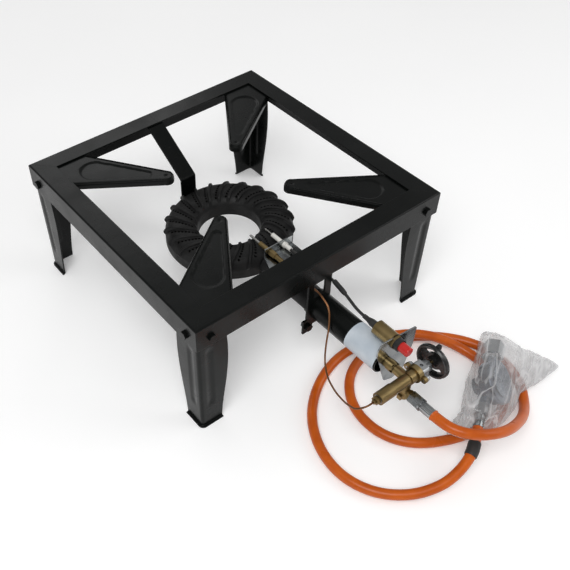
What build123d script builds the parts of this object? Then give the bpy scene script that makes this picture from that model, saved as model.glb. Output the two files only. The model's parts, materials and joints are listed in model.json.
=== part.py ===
from build123d import *
import math
import os

# Stock pot range: a square pressed-steel stand with four pot supports, a cast-iron ring
# burner on a mixer tube, a flame-failure gas valve with a push igniter, and the gas hose
# that ends in a bagged low-pressure regulator.
#
# Row frame, millimetres: the origin is on the floor under the middle of the stand, +Z is
# up, and the mixer tube with its controls points along -Y.

# ------------------------------------------------------------------ driving dimensions
# Stand
FRAME = 400.0            # outside of the square top frame
HEIGHT = 190.0           # floor to top of frame
FLANGE = 29.0            # width of a rail's top flange
SKIRT = 35.0             # depth of a rail's skirt, outside
RAIL_SHEET = 2.5         # rail sheet
RAIL_BEND = 2.5          # outer bend radius of a rail
LEG_SHEET = 2.0          # leg sheet
LEG_WIDTHS = [32.0, 34.8, 43.0, 44.6, 42.5, 38.0]   # one face of a leg, from foot to top
LEG_SHARES = (0, 0.16, 0.5067, 0.6613, 0.8267, 1)   # where those are, over the leg's height
LEG_LIP_WIDTH = 3.0      # foot lip that turns outward
GROOVE_WIDTH = 11.0      # pressed groove in each leg face
GROOVE_DEPTH = 1.0
GROOVE_LOW = 34.0        # lower end of the groove
GROOVE_HIGH = HEIGHT - SKIRT - 7.0   # upper end, just under the skirt
GROOVE_PLACE = 16.0      # groove centre from the leg's corner
BOLT_R = 3.0             # M6 leg bolts
BOLT_HEAD_AF = 10.0
BOLT_HEAD = 4.0
NUT_HEIGHT = 5.0
BOLT_INSET = 22.0        # bolt from the frame's corner
BOLT_Z = HEIGHT - BOLT_INSET
HOLE_CLEARANCE = 0.3     # bolt hole over bolt, radial
FIT = 0.05               # radial clearance between fixed round pieces
RUN = 0.08               # radial clearance of a turning or sliding shaft

# Pot supports, measured along the diagonal from the middle of the stand
SUPPORT_SHEET = 1.8
SUPPORT_DEPTH = 9.5      # depth of the flange along the sides and round the nose
SUPPORT_TIP = 86.0       # centre of the rounded nose
SUPPORT_NOSE_R = 8.6
SUPPORT_SLOPE = 0.185    # half width gained per millimetre
SUPPORT_EDGE_GAP = 14.0  # support edge from the frame's outside
RECESS_START = 106.0     # pressed recess, near end
RECESS_END = 208.0       # pressed recess, wide end
RECESS_MARGIN = 6.5      # recess edge from the support's edge
RECESS_DEPTH = 1.5
DIMPLE_R = 1.8

# Burner
BURNER_OUTER_R = 92.5
BURNER_INNER_R = 45.0
BURNER_BOTTOM = 88.0
BURNER_SPLIT = 101.0     # joint between bowl and cap
BURNER_TOP = 118.0
BURNER_WALL = 4.0
CAP_SHOULDER_R = BURNER_OUTER_R - 5.0    # where the cap's outer cone meets its top
CAP_SHOULDER_Z = 113.5
CAP_OUTER_FLAT_R = BURNER_OUTER_R - 13.5
CAP_INNER_FLAT_R = 60.0
CAP_INNER_EDGE_Z = 107.0
CAP_ROOF = 5.0
RIB_COUNT = 22
RIB_HEIGHT = 3.0
RIB_WIDTH = 4.6
RIB_SWEEP = 19.5         # degrees, outer end behind inner end, clockwise from above
RIB_PHASE = 5.5          # degrees, inner end of the first rib from +X
RIB_OUTER_R = BURNER_OUTER_R + 2.0
RIB_INNER_R = 48.0
PORTS_PER_RIB = 8
PORT_R = 1.2
PORT_LEAD = 5.4          # degrees from a rib to its row of ports
PORT_INNER_R = 54.0
PORT_OUTER_R = BURNER_OUTER_R - 8.5
CAP_SCREW_R = 2.5        # M5 screws that hold cap and bowl
CAP_SCREW_CIRCLE_R = 68.5
CAP_POST_R = 6.0
RIB_BLANK = 40.0         # height of a rib's blank before it is cut to the raised outline
RIB_ROOM = 10.0          # how far past the cap the noses are cut

# Mixer tube
TUBE_Z = 100.0           # axis of tube, injector and valve
TUBE_R = 19.0
TUBE_WALL = 1.5
NECK_END = -200.0        # end of the burner's cast neck
NECK_BORE_R = 12.0
TUBE_REAR = -184.0
TUBE_MOUTH = -312.5
LABEL_REAR = -260.0
LABEL_FRONT = -310.5
LABEL_THICK = 0.2

# Straps and brackets
STRAP_WIDTH = 26.0
STRAP_THICK = 3.0
STRAP_X = -4.0
STRAP_BEND_Z = HEIGHT - 53.0
BRACKET_THICK = 3.0
BRACKET_LEFT = -25.0
BRACKET_RIGHT = 13.5
BRACKET_BOTTOM = 76.0
WINDOW_LEFT = -16.0      # window for the sensor's capillary
WINDOW_RIGHT = 3.0
PASS_Z = (TUBE_Z + TUBE_R + HEIGHT - SKIRT) / 2   # midway between the tube and the skirt
WINDOW_LOW = PASS_Z - 12.0
WINDOW_HIGH = PASS_Z + 12.0
CLIP_X = -22.0
CLIP_Z = 75.0

# Flame sensing and ignition at the burner
SENSE_Z = 127.0          # height of both rods over the cap
THERMO_X = -5.0
THERMO_R = 3.5
HOLDER_Y = -(RIB_OUTER_R + 1.5)   # upright tab of the sensor bracket
THERMO_FRONT = HOLDER_Y + 20.0
THERMO_REAR = HOLDER_Y - 28.0
THERMO_TIP_END = HOLDER_Y + 42.0
SPARK_X = 19.5
CERAMIC_R = 3.2
CERAMIC_FRONT = HOLDER_Y + 23.0
CERAMIC_REAR = HOLDER_Y - 16.0
SPARK_ROD_R = 0.9
SPARK_TIP_END = HOLDER_Y + 39.0
HOLDER_SHEET = 1.5
HOLDER_TOP = 135.0
HOLDER_LEFT = -24.0
HOLDER_RIGHT = 34.0
HOLDER_END = -168.0
CAPILLARY_R = 1.2
LEAD_R = 2.0

# Control panel plate
PLATE_Y = -315.0         # front face
PLATE_SHEET = 1.8
PLATE_OUTLINE = [(-13.0, 141.0), (46.5, 131.5), (46.0, 100.0), (37.5, 61.0),
                 (19.0, 52.0), (3.0, 59.0), (-19.0, 120.0), (-19.0, 131.5)]
PLATE_TAB_HALF = 6.0     # half height of the tab that holds the plate to the tube
PLATE_TAB_END = -283.0
PANEL_SCREW_YS = (-304.0, -291.0)
PANEL_SCREW_R = 1.5

# Push igniter
IGNITER_X = 9.0
IGNITER_Z = 130.5
IGNITER_R = 9.75
IGNITER_REAR = -285.0
IGNITER_NECK_R = 7.4
IGNITER_BORE_R = 6.4
IGNITER_NUT_AF = 17.0
IGNITER_NUT = 3.2
COLLAR_R = 8.3
COLLAR_FRONT = -325.0
BUTTON_FRONT = -338.5
BUTTON_REAR = -306.0
BOOT_FRONT_R = 5.3
BOOT_TAIL = -262.0

# Gas valve: its barrel lies along X
VALVE_Y = -350.0
BARREL_R = 7.6
MAGNET_END_R = 8.4       # barrel round the magnet unit
BARREL_END = -49.0
MAGNET_END_FRONT = -26.0
FLANGE_X0 = 10.0
FLANGE_X1 = 17.0
FLANGE_R = 11.5
LUG_Y = 13.5             # flange screw from the valve axis
LUG_R = 4.5
BONNET_SIDE = 19.0
BONNET_X1 = 27.0
BONNET_NECK_R = 8.0
BONNET_END = 35.0
BOSS_R = 6.5
BOSS_BOTTOM = 67.0
HOSE_Z = 77.0            # axis of the hose connection
SOCKET_FACE = -357.5
SPINDLE_R = 3.5
KNOB_R = 24.5
KNOB_BACK = 39.8         # back of the knob's hub
KNOB_FRONT = 51.0
PIN_R = 1.5
PLUG_R = 5.2
KEY_SIDE = 3.6
SEAT_X = -26.0
DISC_R = 5.0
MAGNET_R = 6.2
SENSOR_NUT_END = -57.0
INJECTOR_NUT_FRONT = -330.0
INJECTOR_NUT_STEP = -320.0
INJECTOR_NUT_R = 7.6
INJECTOR_COLLAR_R = 6.7
INJECTOR_THREAD_R = 5.5
INJECTOR_TIP = -300.0

# Gas hose and its ends
HOSE_R = 6.65
HOSE_NUT_AF = 15.0
HOSE_NUT_REAR = -361.5
HOSE_NUT_FRONT = -379.0
FERRULE_R = 6.8
HOSE_START = -396.0
NIPPLE_R = 5.0
FLUTE_COUNT = 10
FLOOR_REST = HOSE_R      # hose axis over the floor
HOSE_LAST_RUN = 16.0     # straight run into the regulator's ferrule
HOSE_POINTS = [
    (0.0, HOSE_START, HOSE_Z), (0.0, -416.0, HOSE_Z), (8.0, -435.0, 77.0),
    (24.5, -449.5, 74.5), (44.0, -457.0, 68.5), (67.0, -459.5, 58.0),
    (94.5, -455.5, 43.0), (123.5, -447.0, 25.0), (152.5, -431.5, 7.2),
    (175.0, -408.0, FLOOR_REST),
    (188.0, -377.0, FLOOR_REST), (190.0, -342.0, FLOOR_REST), (177.0, -309.0, FLOOR_REST),
    (152.0, -279.0, FLOOR_REST), (119.0, -254.0, FLOOR_REST), (80.0, -242.0, FLOOR_REST),
    (39.0, -242.0, FLOOR_REST), (4.5, -257.0, FLOOR_REST), (-20.5, -286.0, FLOOR_REST),
    (-30.0, -320.0, FLOOR_REST), (-25.0, -356.0, FLOOR_REST), (-4.0, -386.0, FLOOR_REST),
    (28.5, -406.0, FLOOR_REST), (65.5, -419.0, FLOOR_REST), (101.0, -426.0, FLOOR_REST),
    (134.0, -415.0, FLOOR_REST), (157.0, -387.0, FLOOR_REST), (166.0, -351.0, FLOOR_REST),
    (160.0, -314.5, 9.5), (137.5, -282.0, 21.5), (107.0, -253.5, 21.5),
    (71.0, -232.0, 12.0), (32.5, -221.0, FLOOR_REST), (-8.0, -228.0, FLOOR_REST),
    (-48.5, -247.5, FLOOR_REST), (-82.5, -278.0, FLOOR_REST), (-104.5, -320.0, FLOOR_REST),
    (-109.0, -365.0, FLOOR_REST), (-93.5, -405.0, FLOOR_REST), (-62.5, -434.5, 8.0),
    (-28.0, -450.0, 15.0), (-1.0, -452.0, 23.0), (24.0, -447.5, 31.5),
]
SLEEVE_R = 8.0           # loose black sleeve near the regulator end
SLEEVE_BORE_R = 7.2
SLEEVE_FROM = 40.0       # its ends, back along the hose from the regulator's ferrule
SLEEVE_TO = 21.0

# Regulator in its bag
REG_ALONG = (0.85, 0.527)     # flow direction in plan
REG_TILT = 40.0               # degrees, cover face above upright
REG_COVER_R = 29.5
REG_COVER = 5.0
REG_BODY_R = 27.5
REG_BODY = 14.0
REG_CHIMNEY_R = 11.0
REG_CHIMNEY = 16.0
REG_FLOW_OFFSET = 20.0        # flow axis behind the cover's face
REG_PIPE_R = 8.0
REG_OUTLET = -35.5
REG_HOSE_NUT = 17.0
REG_FERRULE = 20.0
REG_INLET = 47.0
REG_NUT_AF = 25.0
REG_NUT_END = 70.0
REG_NUT_BORE_R = 9.5
REG_SPIGOT_R = 6.0
REG_CENTRE = (125.0, -403.2)
BAG_BOTTOM = 15.1             # the bag lies on the hose
BAG_MIDDLE = 53.0
BAG_TOP = 75.8
TENT_FOOT = 48.0              # the part of the bag that stands over the regulator's disc
FILM = 0.8
FILM_SLANT = 0.3              # added to the film where it stands upright
BAG_REST = 0.3                # regulator over the bag's floor
# plan outlines of the bag, (along the flow, to its right) from the hose's end
BAG_FOOT = [(179.0, -18.0), (175.0, 4.0), (178.0, 25.0), (166.0, 44.0), (164.5, 65.0),
            (159.0, 86.0), (153.0, 90.0), (130.0, 76.0), (112.0, 63.0), (90.0, 46.0),
            (62.0, 42.0), (36.0, 32.0), (12.0, 16.0), (-7.0, -4.0), (-7.0, -34.0),
            (4.0, -33.0), (16.0, -20.5), (45.0, -22.7), (90.0, -22.5), (150.0, -18.0)]
BAG_SHOULDER = [(146.0, -14.0), (147.0, -3.0), (147.0, 6.0), (141.0, 12.0), (133.0, 18.0),
                (126.0, 21.0), (120.0, 22.5), (112.0, 23.0), (104.0, 23.0), (90.0, 23.0),
                (66.0, 23.0), (42.0, 22.0), (30.0, 18.0), (18.0, 8.0), (14.0, -8.0),
                (20.0, -12.0), (30.0, -15.0), (50.0, -20.0), (95.0, -20.0), (120.0, -17.0)]
TENT_BASE = [(38.5, 20.0), (38.5, -8.0), (52.0, -22.0), (93.0, -22.0), (106.5, -8.0),
             (106.5, 20.0)]
TENT_RIDGE = [(53.0, 4.0), (53.0, -6.0), (62.0, -12.5), (83.0, -12.5), (92.0, -6.0),
              (92.0, 4.0)]

# Bends of the two leads, from the burner to the valve and to the igniter
CAPILLARY_POINTS = [
    (-8.0, -180.0, PASS_Z - 6.0), (-11.0, -205.0, PASS_Z - 2.5), (-13.0, -224.0, 126.0),
    (-20.5, -234.0, 107.0), (-27.0, -238.0, 82.0), (-36.0, -247.0, 63.0),
    (-48.0, -266.0, 57.0), (-59.0, -292.0, 62.0), (-68.0, -319.0, 74.0),
    (-74.0, -340.0, 90.0), (-67.0, VALVE_Y, TUBE_Z),
]
LEAD_POINTS = [
    (19.0, -166.0, PASS_Z - 6.0), (18.0, -196.0, PASS_Z - 1.0), (13.0, -226.0, PASS_Z - 2.0),
    (IGNITER_X, -251.0, IGNITER_Z),
]
LEAD_OUT = 24.0          # straight stretch out of each rod
LEAD_IN = 8.0            # overlap into a body or a nut

HALF = FRAME / 2
FLANGE_UNDER = HEIGHT - RAIL_SHEET
SKIRT_BOTTOM = HEIGHT - SKIRT
LEG_CORNER = HALF - RAIL_SHEET
PLATE_BACK = PLATE_Y + PLATE_SHEET
STRAP_BOLT_Z = (BURNER_BOTTOM + BURNER_SPLIT) / 2 + 2

pieces = {}
hex_bolts = []
hex_nuts = []


# ------------------------------------------------------------------ shape helpers
def block(x0, x1, y0, y1, z0, z1):
    centre = Pos((x0 + x1) / 2, (y0 + y1) / 2, (z0 + z1) / 2)
    return centre * Box(x1 - x0, y1 - y0, z1 - z0)


def rod_x(r, x0, x1, y=VALVE_Y, z=TUBE_Z):
    return Pos((x0 + x1) / 2, y, z) * Rot(0, 90, 0) * Cylinder(r, x1 - x0)


def rod_y(r, y0, y1, x=0.0, z=TUBE_Z):
    return Pos(x, (y0 + y1) / 2, z) * Rot(90, 0, 0) * Cylinder(r, abs(y1 - y0))


def rod_z(r, z0, z1, x=0.0, y=0.0):
    return Pos(x, y, (z0 + z1) / 2) * Cylinder(r, z1 - z0)


def hexagon(across_flats):
    return RegularPolygon(across_flats / 2, 6, major_radius=False)


def hex_y(across_flats, y0, y1, x=0.0, z=TUBE_Z):
    plane = Plane(origin=(x, y0, z), x_dir=(1, 0, 0), z_dir=(0, 1, 0))
    return extrude(plane * hexagon(across_flats), y1 - y0)


def hex_x(across_flats, x0, x1, y=VALVE_Y, z=TUBE_Z):
    plane = Plane(origin=(x0, y, z), x_dir=(0, 1, 0), z_dir=(1, 0, 0))
    return extrude(plane * hexagon(across_flats), x1 - x0)


def polygon_face(points):
    return make_face(Polyline(*points, close=True))


def turned(points):
    """A solid of revolution about Z from (radius, height) points."""
    profile = Plane.XZ * polygon_face(points)
    return revolve(profile, Axis.Z)


def strip_outline(points, thickness):
    """Both sides of a bent flat strip, with mitred bends, as one closed outline."""
    normals = []
    for (a0, b0), (a1, b1) in zip(points, points[1:]):
        run = math.hypot(a1 - a0, b1 - b0)
        normals.append((-(b1 - b0) / run, (a1 - a0) / run))
    side = []
    for i, (a, b) in enumerate(points):
        before = normals[max(i - 1, 0)]
        after = normals[min(i, len(normals) - 1)]
        share = 1 + before[0] * after[0] + before[1] * after[1]
        side.append(((before[0] + after[0]) / share * thickness / 2,
                     (before[1] + after[1]) / share * thickness / 2, a, b))
    left = [(a + da, b + db) for da, db, a, b in side]
    right = [(a - da, b - db) for da, db, a, b in side]
    return left + right[::-1]


def route_path(points, name):
    """Straight runs joined by arcs, each as large as its two runs allow."""
    radii = []
    for before, here, after in zip(points, points[1:], points[2:]):
        incoming = Vector(*here) - Vector(*before)
        outgoing = Vector(*after) - Vector(*here)
        turn = math.radians(incoming.get_angle(outgoing))
        shorter = min(incoming.length, outgoing.length)
        radii.append(0.45 * shorter / math.tan(turn / 2))
    print(name, "bend radii", [round(r, 1) for r in radii])
    return FilletPolyline(*points, radius=radii)


def round_tube(points, radius, name):
    path = route_path(points, name)
    section = Plane(origin=path @ 0, z_dir=path % 0) * Circle(radius)
    solid = sweep(section, path)
    expected = math.pi * radius ** 2 * path.length
    print(name, "length", round(path.length, 1), "volume share",
          round(solid.volume / expected, 4))
    return solid, path


def quarter_turns(shape, quarter):
    return Rot(0, 0, 90 * quarter) * shape


# ------------------------------------------------------------------ stand
def rail_blank():
    """The front rail, an angle with mitred ends."""
    low, high = -HALF, HEIGHT
    profile = polygon_face([
        (low, high), (low + FLANGE, high), (low + FLANGE, high - RAIL_SHEET),
        (low + RAIL_SHEET, high - RAIL_SHEET), (low + RAIL_SHEET, SKIRT_BOTTOM),
        (low, SKIRT_BOTTOM)])
    section = Plane(origin=(-HALF, 0, 0), x_dir=(0, 1, 0), z_dir=(1, 0, 0)) * profile
    angle = extrude(section, FRAME)
    bend = angle.edges().filter_by(Axis.X).sort_by(Axis.Z)[-2:].sort_by(Axis.Y)[0]
    angle = fillet(bend, RAIL_BEND)
    mitre = extrude(polygon_face([(-HALF, -HALF), (HALF, -HALF), (0, 0)]), HEIGHT)
    return angle & mitre


def leg_blank():
    """The leg at the front left corner: two bowed faces and a foot lip."""
    edge = [(width, share * FLANGE_UNDER) for width, share in zip(LEG_WIDTHS, LEG_SHARES)]
    foot_width = LEG_WIDTHS[0]
    face = make_face(Curve() + [Spline(*edge),
                                Polyline(edge[-1], (0, FLANGE_UNDER), (0, 0), edge[0])])
    upright = Plane(origin=(0, 0, 0), x_dir=(1, 0, 0), z_dir=(0, -1, 0))
    groove_mid = (GROOVE_LOW + GROOVE_HIGH) / 2
    slot = Pos(GROOVE_PLACE, groove_mid) * Rot(0, 0, 90) * SlotOverall(
        GROOVE_HIGH - GROOVE_LOW, GROOVE_WIDTH)
    inner_slot = Pos(GROOVE_PLACE, groove_mid) * Rot(0, 0, 90) * SlotOverall(
        GROOVE_HIGH - GROOVE_LOW, GROOVE_WIDTH + LEG_SHEET)
    one = extrude(upright * face, -LEG_SHEET)
    raised = extrude(upright * inner_slot, -(LEG_SHEET + GROOVE_DEPTH))
    one = one + raised - extrude(upright * slot, -GROOVE_DEPTH)
    one = one + block(0, foot_width, -LEG_LIP_WIDTH, LEG_SHEET, 0, LEG_SHEET)
    other = mirror(one, about=Plane(origin=(0, 0, 0), z_dir=(1, -1, 0)))
    corner = block(-LEG_LIP_WIDTH, 0, -LEG_LIP_WIDTH, 0, 0, LEG_SHEET)
    leg = Pos(-LEG_CORNER, -LEG_CORNER, 0) * (one + other + corner)
    for hole in bolt_places():
        leg = leg - hole(BOLT_R + HOLE_CLEARANCE, -1, LEG_SHEET + RAIL_SHEET + 1)
    return leg


def bolt_places():
    """The two bolts of the front left corner, each as a rod inward from the skirt."""
    def through_front(r, start, end):
        return rod_y(r, -HALF + start, -HALF + end, -HALF + BOLT_INSET, BOLT_Z)

    def through_left(r, start, end):
        return rod_x(r, -HALF + start, -HALF + end, -HALF + BOLT_INSET, BOLT_Z)

    return through_front, through_left


def leg_fasteners():
    """Bolts and nuts of the front left corner."""
    inside = RAIL_SHEET + LEG_SHEET
    shank_end = inside + NUT_HEIGHT + 1.5
    bolts, nuts = [], []
    for place, hexagonal in zip(bolt_places(), (hex_y, hex_x)):
        at = -HALF + BOLT_INSET
        head = hexagonal(BOLT_HEAD_AF, -HALF - BOLT_HEAD, -HALF, at, BOLT_Z)
        bolts.append(head + place(BOLT_R, 0, shank_end))
        nut = hexagonal(BOLT_HEAD_AF, -HALF + inside, -HALF + inside + NUT_HEIGHT,
                        at, BOLT_Z)
        nuts.append(nut - place(BOLT_R + FIT, 0, shank_end + 1))
    return bolts, nuts


def support_half_width(distance):
    return SUPPORT_NOSE_R + SUPPORT_SLOPE * (distance - SUPPORT_TIP)


def support_blank():
    """A pot support along +X, before it is turned to its diagonal."""
    reach = HALF * math.sqrt(2)
    top = FLANGE_UNDER
    near, far = support_half_width(SUPPORT_TIP), support_half_width(reach)
    plan = polygon_face([(SUPPORT_TIP, -near), (reach, -far), (reach, far),
                         (SUPPORT_TIP, near)])
    inset = SUPPORT_SHEET / math.cos(math.atan(SUPPORT_SLOPE))
    inner = polygon_face([(SUPPORT_TIP - 1, inset - near), (reach + 1, inset - far),
                          (reach + 1, far - inset), (SUPPORT_TIP - 1, near - inset)])
    bottom, under = top - SUPPORT_DEPTH, top - SUPPORT_SHEET
    shell = Pos(0, 0, bottom) * extrude(plan, SUPPORT_DEPTH)
    shell = shell + rod_z(SUPPORT_NOSE_R, bottom, top, SUPPORT_TIP)
    shell = shell - Pos(0, 0, bottom) * extrude(inner, SUPPORT_DEPTH - SUPPORT_SHEET)
    shell = shell - rod_z(SUPPORT_NOSE_R - SUPPORT_SHEET, bottom - 1, under, SUPPORT_TIP)
    recess_near = support_half_width(RECESS_START) - RECESS_MARGIN
    recess_far = support_half_width(RECESS_END) - RECESS_MARGIN
    recess = polygon_face([(RECESS_START, -recess_near), (RECESS_END, -recess_far),
                           (RECESS_END, recess_far), (RECESS_START, recess_near)])
    corners = recess.vertices().sort_by(Axis.X)
    recess = fillet(corners[2:], recess_far * 0.8)
    recess = fillet(recess.vertices().sort_by(Axis.X)[:2], recess_near * 0.9)
    dish = Pos(0, 0, top - RECESS_DEPTH - SUPPORT_SHEET) * extrude(
        offset(recess, SUPPORT_SHEET * 0.6), SUPPORT_SHEET)
    support = shell + dish
    support = support - Pos(0, 0, top - RECESS_DEPTH) * extrude(recess, RECESS_DEPTH + 1)
    support = support - rod_z(DIMPLE_R, under - 1, top + 1, SUPPORT_TIP)
    turned_in = Rot(0, 0, 225) * support
    limit = HALF - SUPPORT_EDGE_GAP
    return turned_in & block(-limit, limit, -limit, limit, 0, HEIGHT)


def stand():
    rail = rail_blank()
    hole_rods = [place(BOLT_R + HOLE_CLEARANCE, -1, RAIL_SHEET + 1) for place in bolt_places()]
    front_hole = hole_rods[0]
    # the front rail carries the left corner's front bolt and the right corner's side bolt,
    # and every rail is the same piece, turned
    right_hole = Rot(0, 0, 90) * hole_rods[1]
    rail = rail - front_hole - right_hole
    pieces["rail_front"] = rail
    pieces["rail_right"] = quarter_turns(rail, 1)
    back = quarter_turns(rail, 2)
    pieces["rail_back_right"] = back & block(0, HALF, 0, HALF, 0, HEIGHT)
    pieces["rail_back_left"] = back & block(-HALF, 0, 0, HALF, 0, HEIGHT)
    pieces["rail_left"] = quarter_turns(rail, 3)
    corner_names = ("front_left", "front_right", "back_right", "back_left")
    leg, support = leg_blank(), support_blank()
    bolts, nuts = leg_fasteners()
    for quarter, corner in enumerate(corner_names):
        pieces["leg_" + corner] = quarter_turns(leg, quarter)
        pieces["pot_support_" + corner] = quarter_turns(support, quarter)
    hex_bolts.extend(quarter_turns(b, q) for q in range(4) for b in bolts)
    hex_nuts.extend(quarter_turns(n, q) for q in range(4) for n in nuts)


# ------------------------------------------------------------------ burner
def cap_outline(raise_by=0.0):
    """(radius, height) points of the cap's outer surface, from outside to inside."""
    return [(BURNER_OUTER_R + raise_by * 0.7, BURNER_SPLIT + raise_by),
            (CAP_SHOULDER_R + raise_by, CAP_SHOULDER_Z + raise_by * 0.7),
            (CAP_OUTER_FLAT_R, BURNER_TOP + raise_by),
            (CAP_INNER_FLAT_R, BURNER_TOP + raise_by),
            (BURNER_INNER_R + 5, CAP_SHOULDER_Z + raise_by * 0.7),
            (BURNER_INNER_R, CAP_INNER_EDGE_Z + raise_by)]


def polar(radius, degrees, z=0.0):
    angle = math.radians(degrees)
    return (radius * math.cos(angle), radius * math.sin(angle), z)


def rib_angle(radius, start):
    """Angle of a rib's middle line at a radius: it sweeps clockwise towards the outside."""
    share = (radius - RIB_INNER_R) / (RIB_OUTER_R - RIB_INNER_R)
    return start - RIB_SWEEP * share


def rib_strip(start):
    """One curved rib in plan, between two arcs."""
    middle = (RIB_INNER_R + RIB_OUTER_R) / 2
    sides = []
    for side in (-1, 1):
        line = [polar(r, rib_angle(r, start) + side * math.degrees(RIB_WIDTH / 2 / r))[:2]
                for r in (RIB_INNER_R, middle, RIB_OUTER_R)]
        sides.append(line)
    left, right = sides
    edges = [ThreePointArc(*left), Line(left[2], right[2]),
             ThreePointArc(*right[::-1]), Line(right[0], left[0])]
    return make_face(Curve() + edges)


def burner():
    channel_in, channel_out = BURNER_INNER_R + BURNER_WALL, BURNER_OUTER_R - BURNER_WALL
    floor_z = BURNER_BOTTOM + BURNER_WALL
    posts = [polar(CAP_SCREW_CIRCLE_R, 30 + 120 * i) for i in range(3)]

    bowl = turned([(BURNER_INNER_R, BURNER_BOTTOM), (BURNER_OUTER_R, BURNER_BOTTOM),
                   (BURNER_OUTER_R, BURNER_SPLIT), (channel_out, BURNER_SPLIT),
                   (channel_out, floor_z), (channel_in, floor_z),
                   (channel_in, BURNER_SPLIT), (BURNER_INNER_R, BURNER_SPLIT)])
    neck_r = TUBE_R - TUBE_WALL - FIT
    neck = rod_y(neck_r, NECK_END, -(channel_out + 1.5))
    neck = neck - rod_z(BURNER_OUTER_R + 0.5, BURNER_SPLIT, HEIGHT)
    bowl = bowl + neck
    for x, y, _ in posts:
        bowl = bowl + rod_z(CAP_POST_R, floor_z, BURNER_SPLIT, x, y)
    strap_boss = block(STRAP_X - 7, STRAP_X + 7, channel_out - 12, channel_out + 1,
                       floor_z - 1, BURNER_SPLIT)
    bowl = bowl + strap_boss
    bowl = bowl - rod_y(NECK_BORE_R, NECK_END - 1, -(BURNER_OUTER_R + 4))
    bowl = bowl - block(-NECK_BORE_R + 2, NECK_BORE_R - 2, -(BURNER_OUTER_R + 5),
                        -(channel_out - 1.5), floor_z, BURNER_SPLIT - 2)
    bowl = bowl - rod_y(BOLT_R + FIT, channel_out - 10, BURNER_OUTER_R + 1, STRAP_X,
                        STRAP_BOLT_Z)
    for x, y, _ in posts:
        bowl = bowl - rod_z(CAP_SCREW_R + HOLE_CLEARANCE, BURNER_BOTTOM - 1,
                            BURNER_SPLIT + 1, x, y)
    pieces["burner_bowl"] = bowl

    surface = cap_outline()
    cap = turned(surface + [(BURNER_INNER_R, BURNER_SPLIT)])
    raised = turned(cap_outline(RIB_HEIGHT) + [(BURNER_INNER_R, BURNER_SPLIT)])
    spacing = 360 / RIB_COUNT
    starts = [RIB_PHASE + i * spacing for i in range(RIB_COUNT)]
    strips = [Pos(0, 0, BURNER_SPLIT) * extrude(rib_strip(start), RIB_BLANK)
              for start in starts]
    ribs = raised & (Part() + strips)
    # the noses stop short of the neck and of the strap behind
    beyond = BURNER_OUTER_R + FIT
    reach = BURNER_OUTER_R + RIB_ROOM
    ribs = ribs - (rod_y(neck_r + FIT, -reach, -CAP_OUTER_FLAT_R)
                   - rod_z(beyond, BURNER_SPLIT - 1, HEIGHT))
    strap_half = STRAP_WIDTH / 2 + 1
    ribs = ribs - block(STRAP_X - strap_half, STRAP_X + strap_half, beyond, reach,
                        BURNER_SPLIT - 1, HEIGHT)
    cap = cap + ribs
    roof = BURNER_TOP - CAP_ROOF
    hollow = turned([(channel_in + 2, BURNER_SPLIT - 1), (channel_out, BURNER_SPLIT - 1),
                     (channel_out - 1, BURNER_SPLIT + 4), (CAP_OUTER_FLAT_R - 2, roof),
                     (CAP_INNER_FLAT_R + 1, roof), (channel_in + 4, BURNER_SPLIT + 5)])
    cap = cap - hollow
    for x, y, _ in posts:
        cap = cap + rod_z(CAP_POST_R, BURNER_SPLIT, roof + 1, x, y)
        cap = cap - rod_z(CAP_SCREW_R + FIT, BURNER_SPLIT - 1, roof - 1, x, y)
    ports = []
    step = (PORT_OUTER_R - PORT_INNER_R) / (PORTS_PER_RIB - 1)
    for start in starts:
        for k in range(PORTS_PER_RIB):
            r = PORT_INNER_R + step * k
            x, y, _ = polar(r, rib_angle(r, start) + PORT_LEAD)
            ports.append(rod_z(PORT_R, roof - 6, BURNER_TOP + 5, x, y))
    pieces["burner_cap"] = cap - ports

    head_r, head = CAP_SCREW_R * 1.8, 2.5
    screws = []
    for x, y, _ in posts:
        shank = rod_z(CAP_SCREW_R, BURNER_BOTTOM, roof - 2, x, y)
        screws.append(shank + rod_z(head_r, BURNER_BOTTOM - head, BURNER_BOTTOM, x, y))
    pieces["burner_screws"] = Compound(screws)


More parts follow.
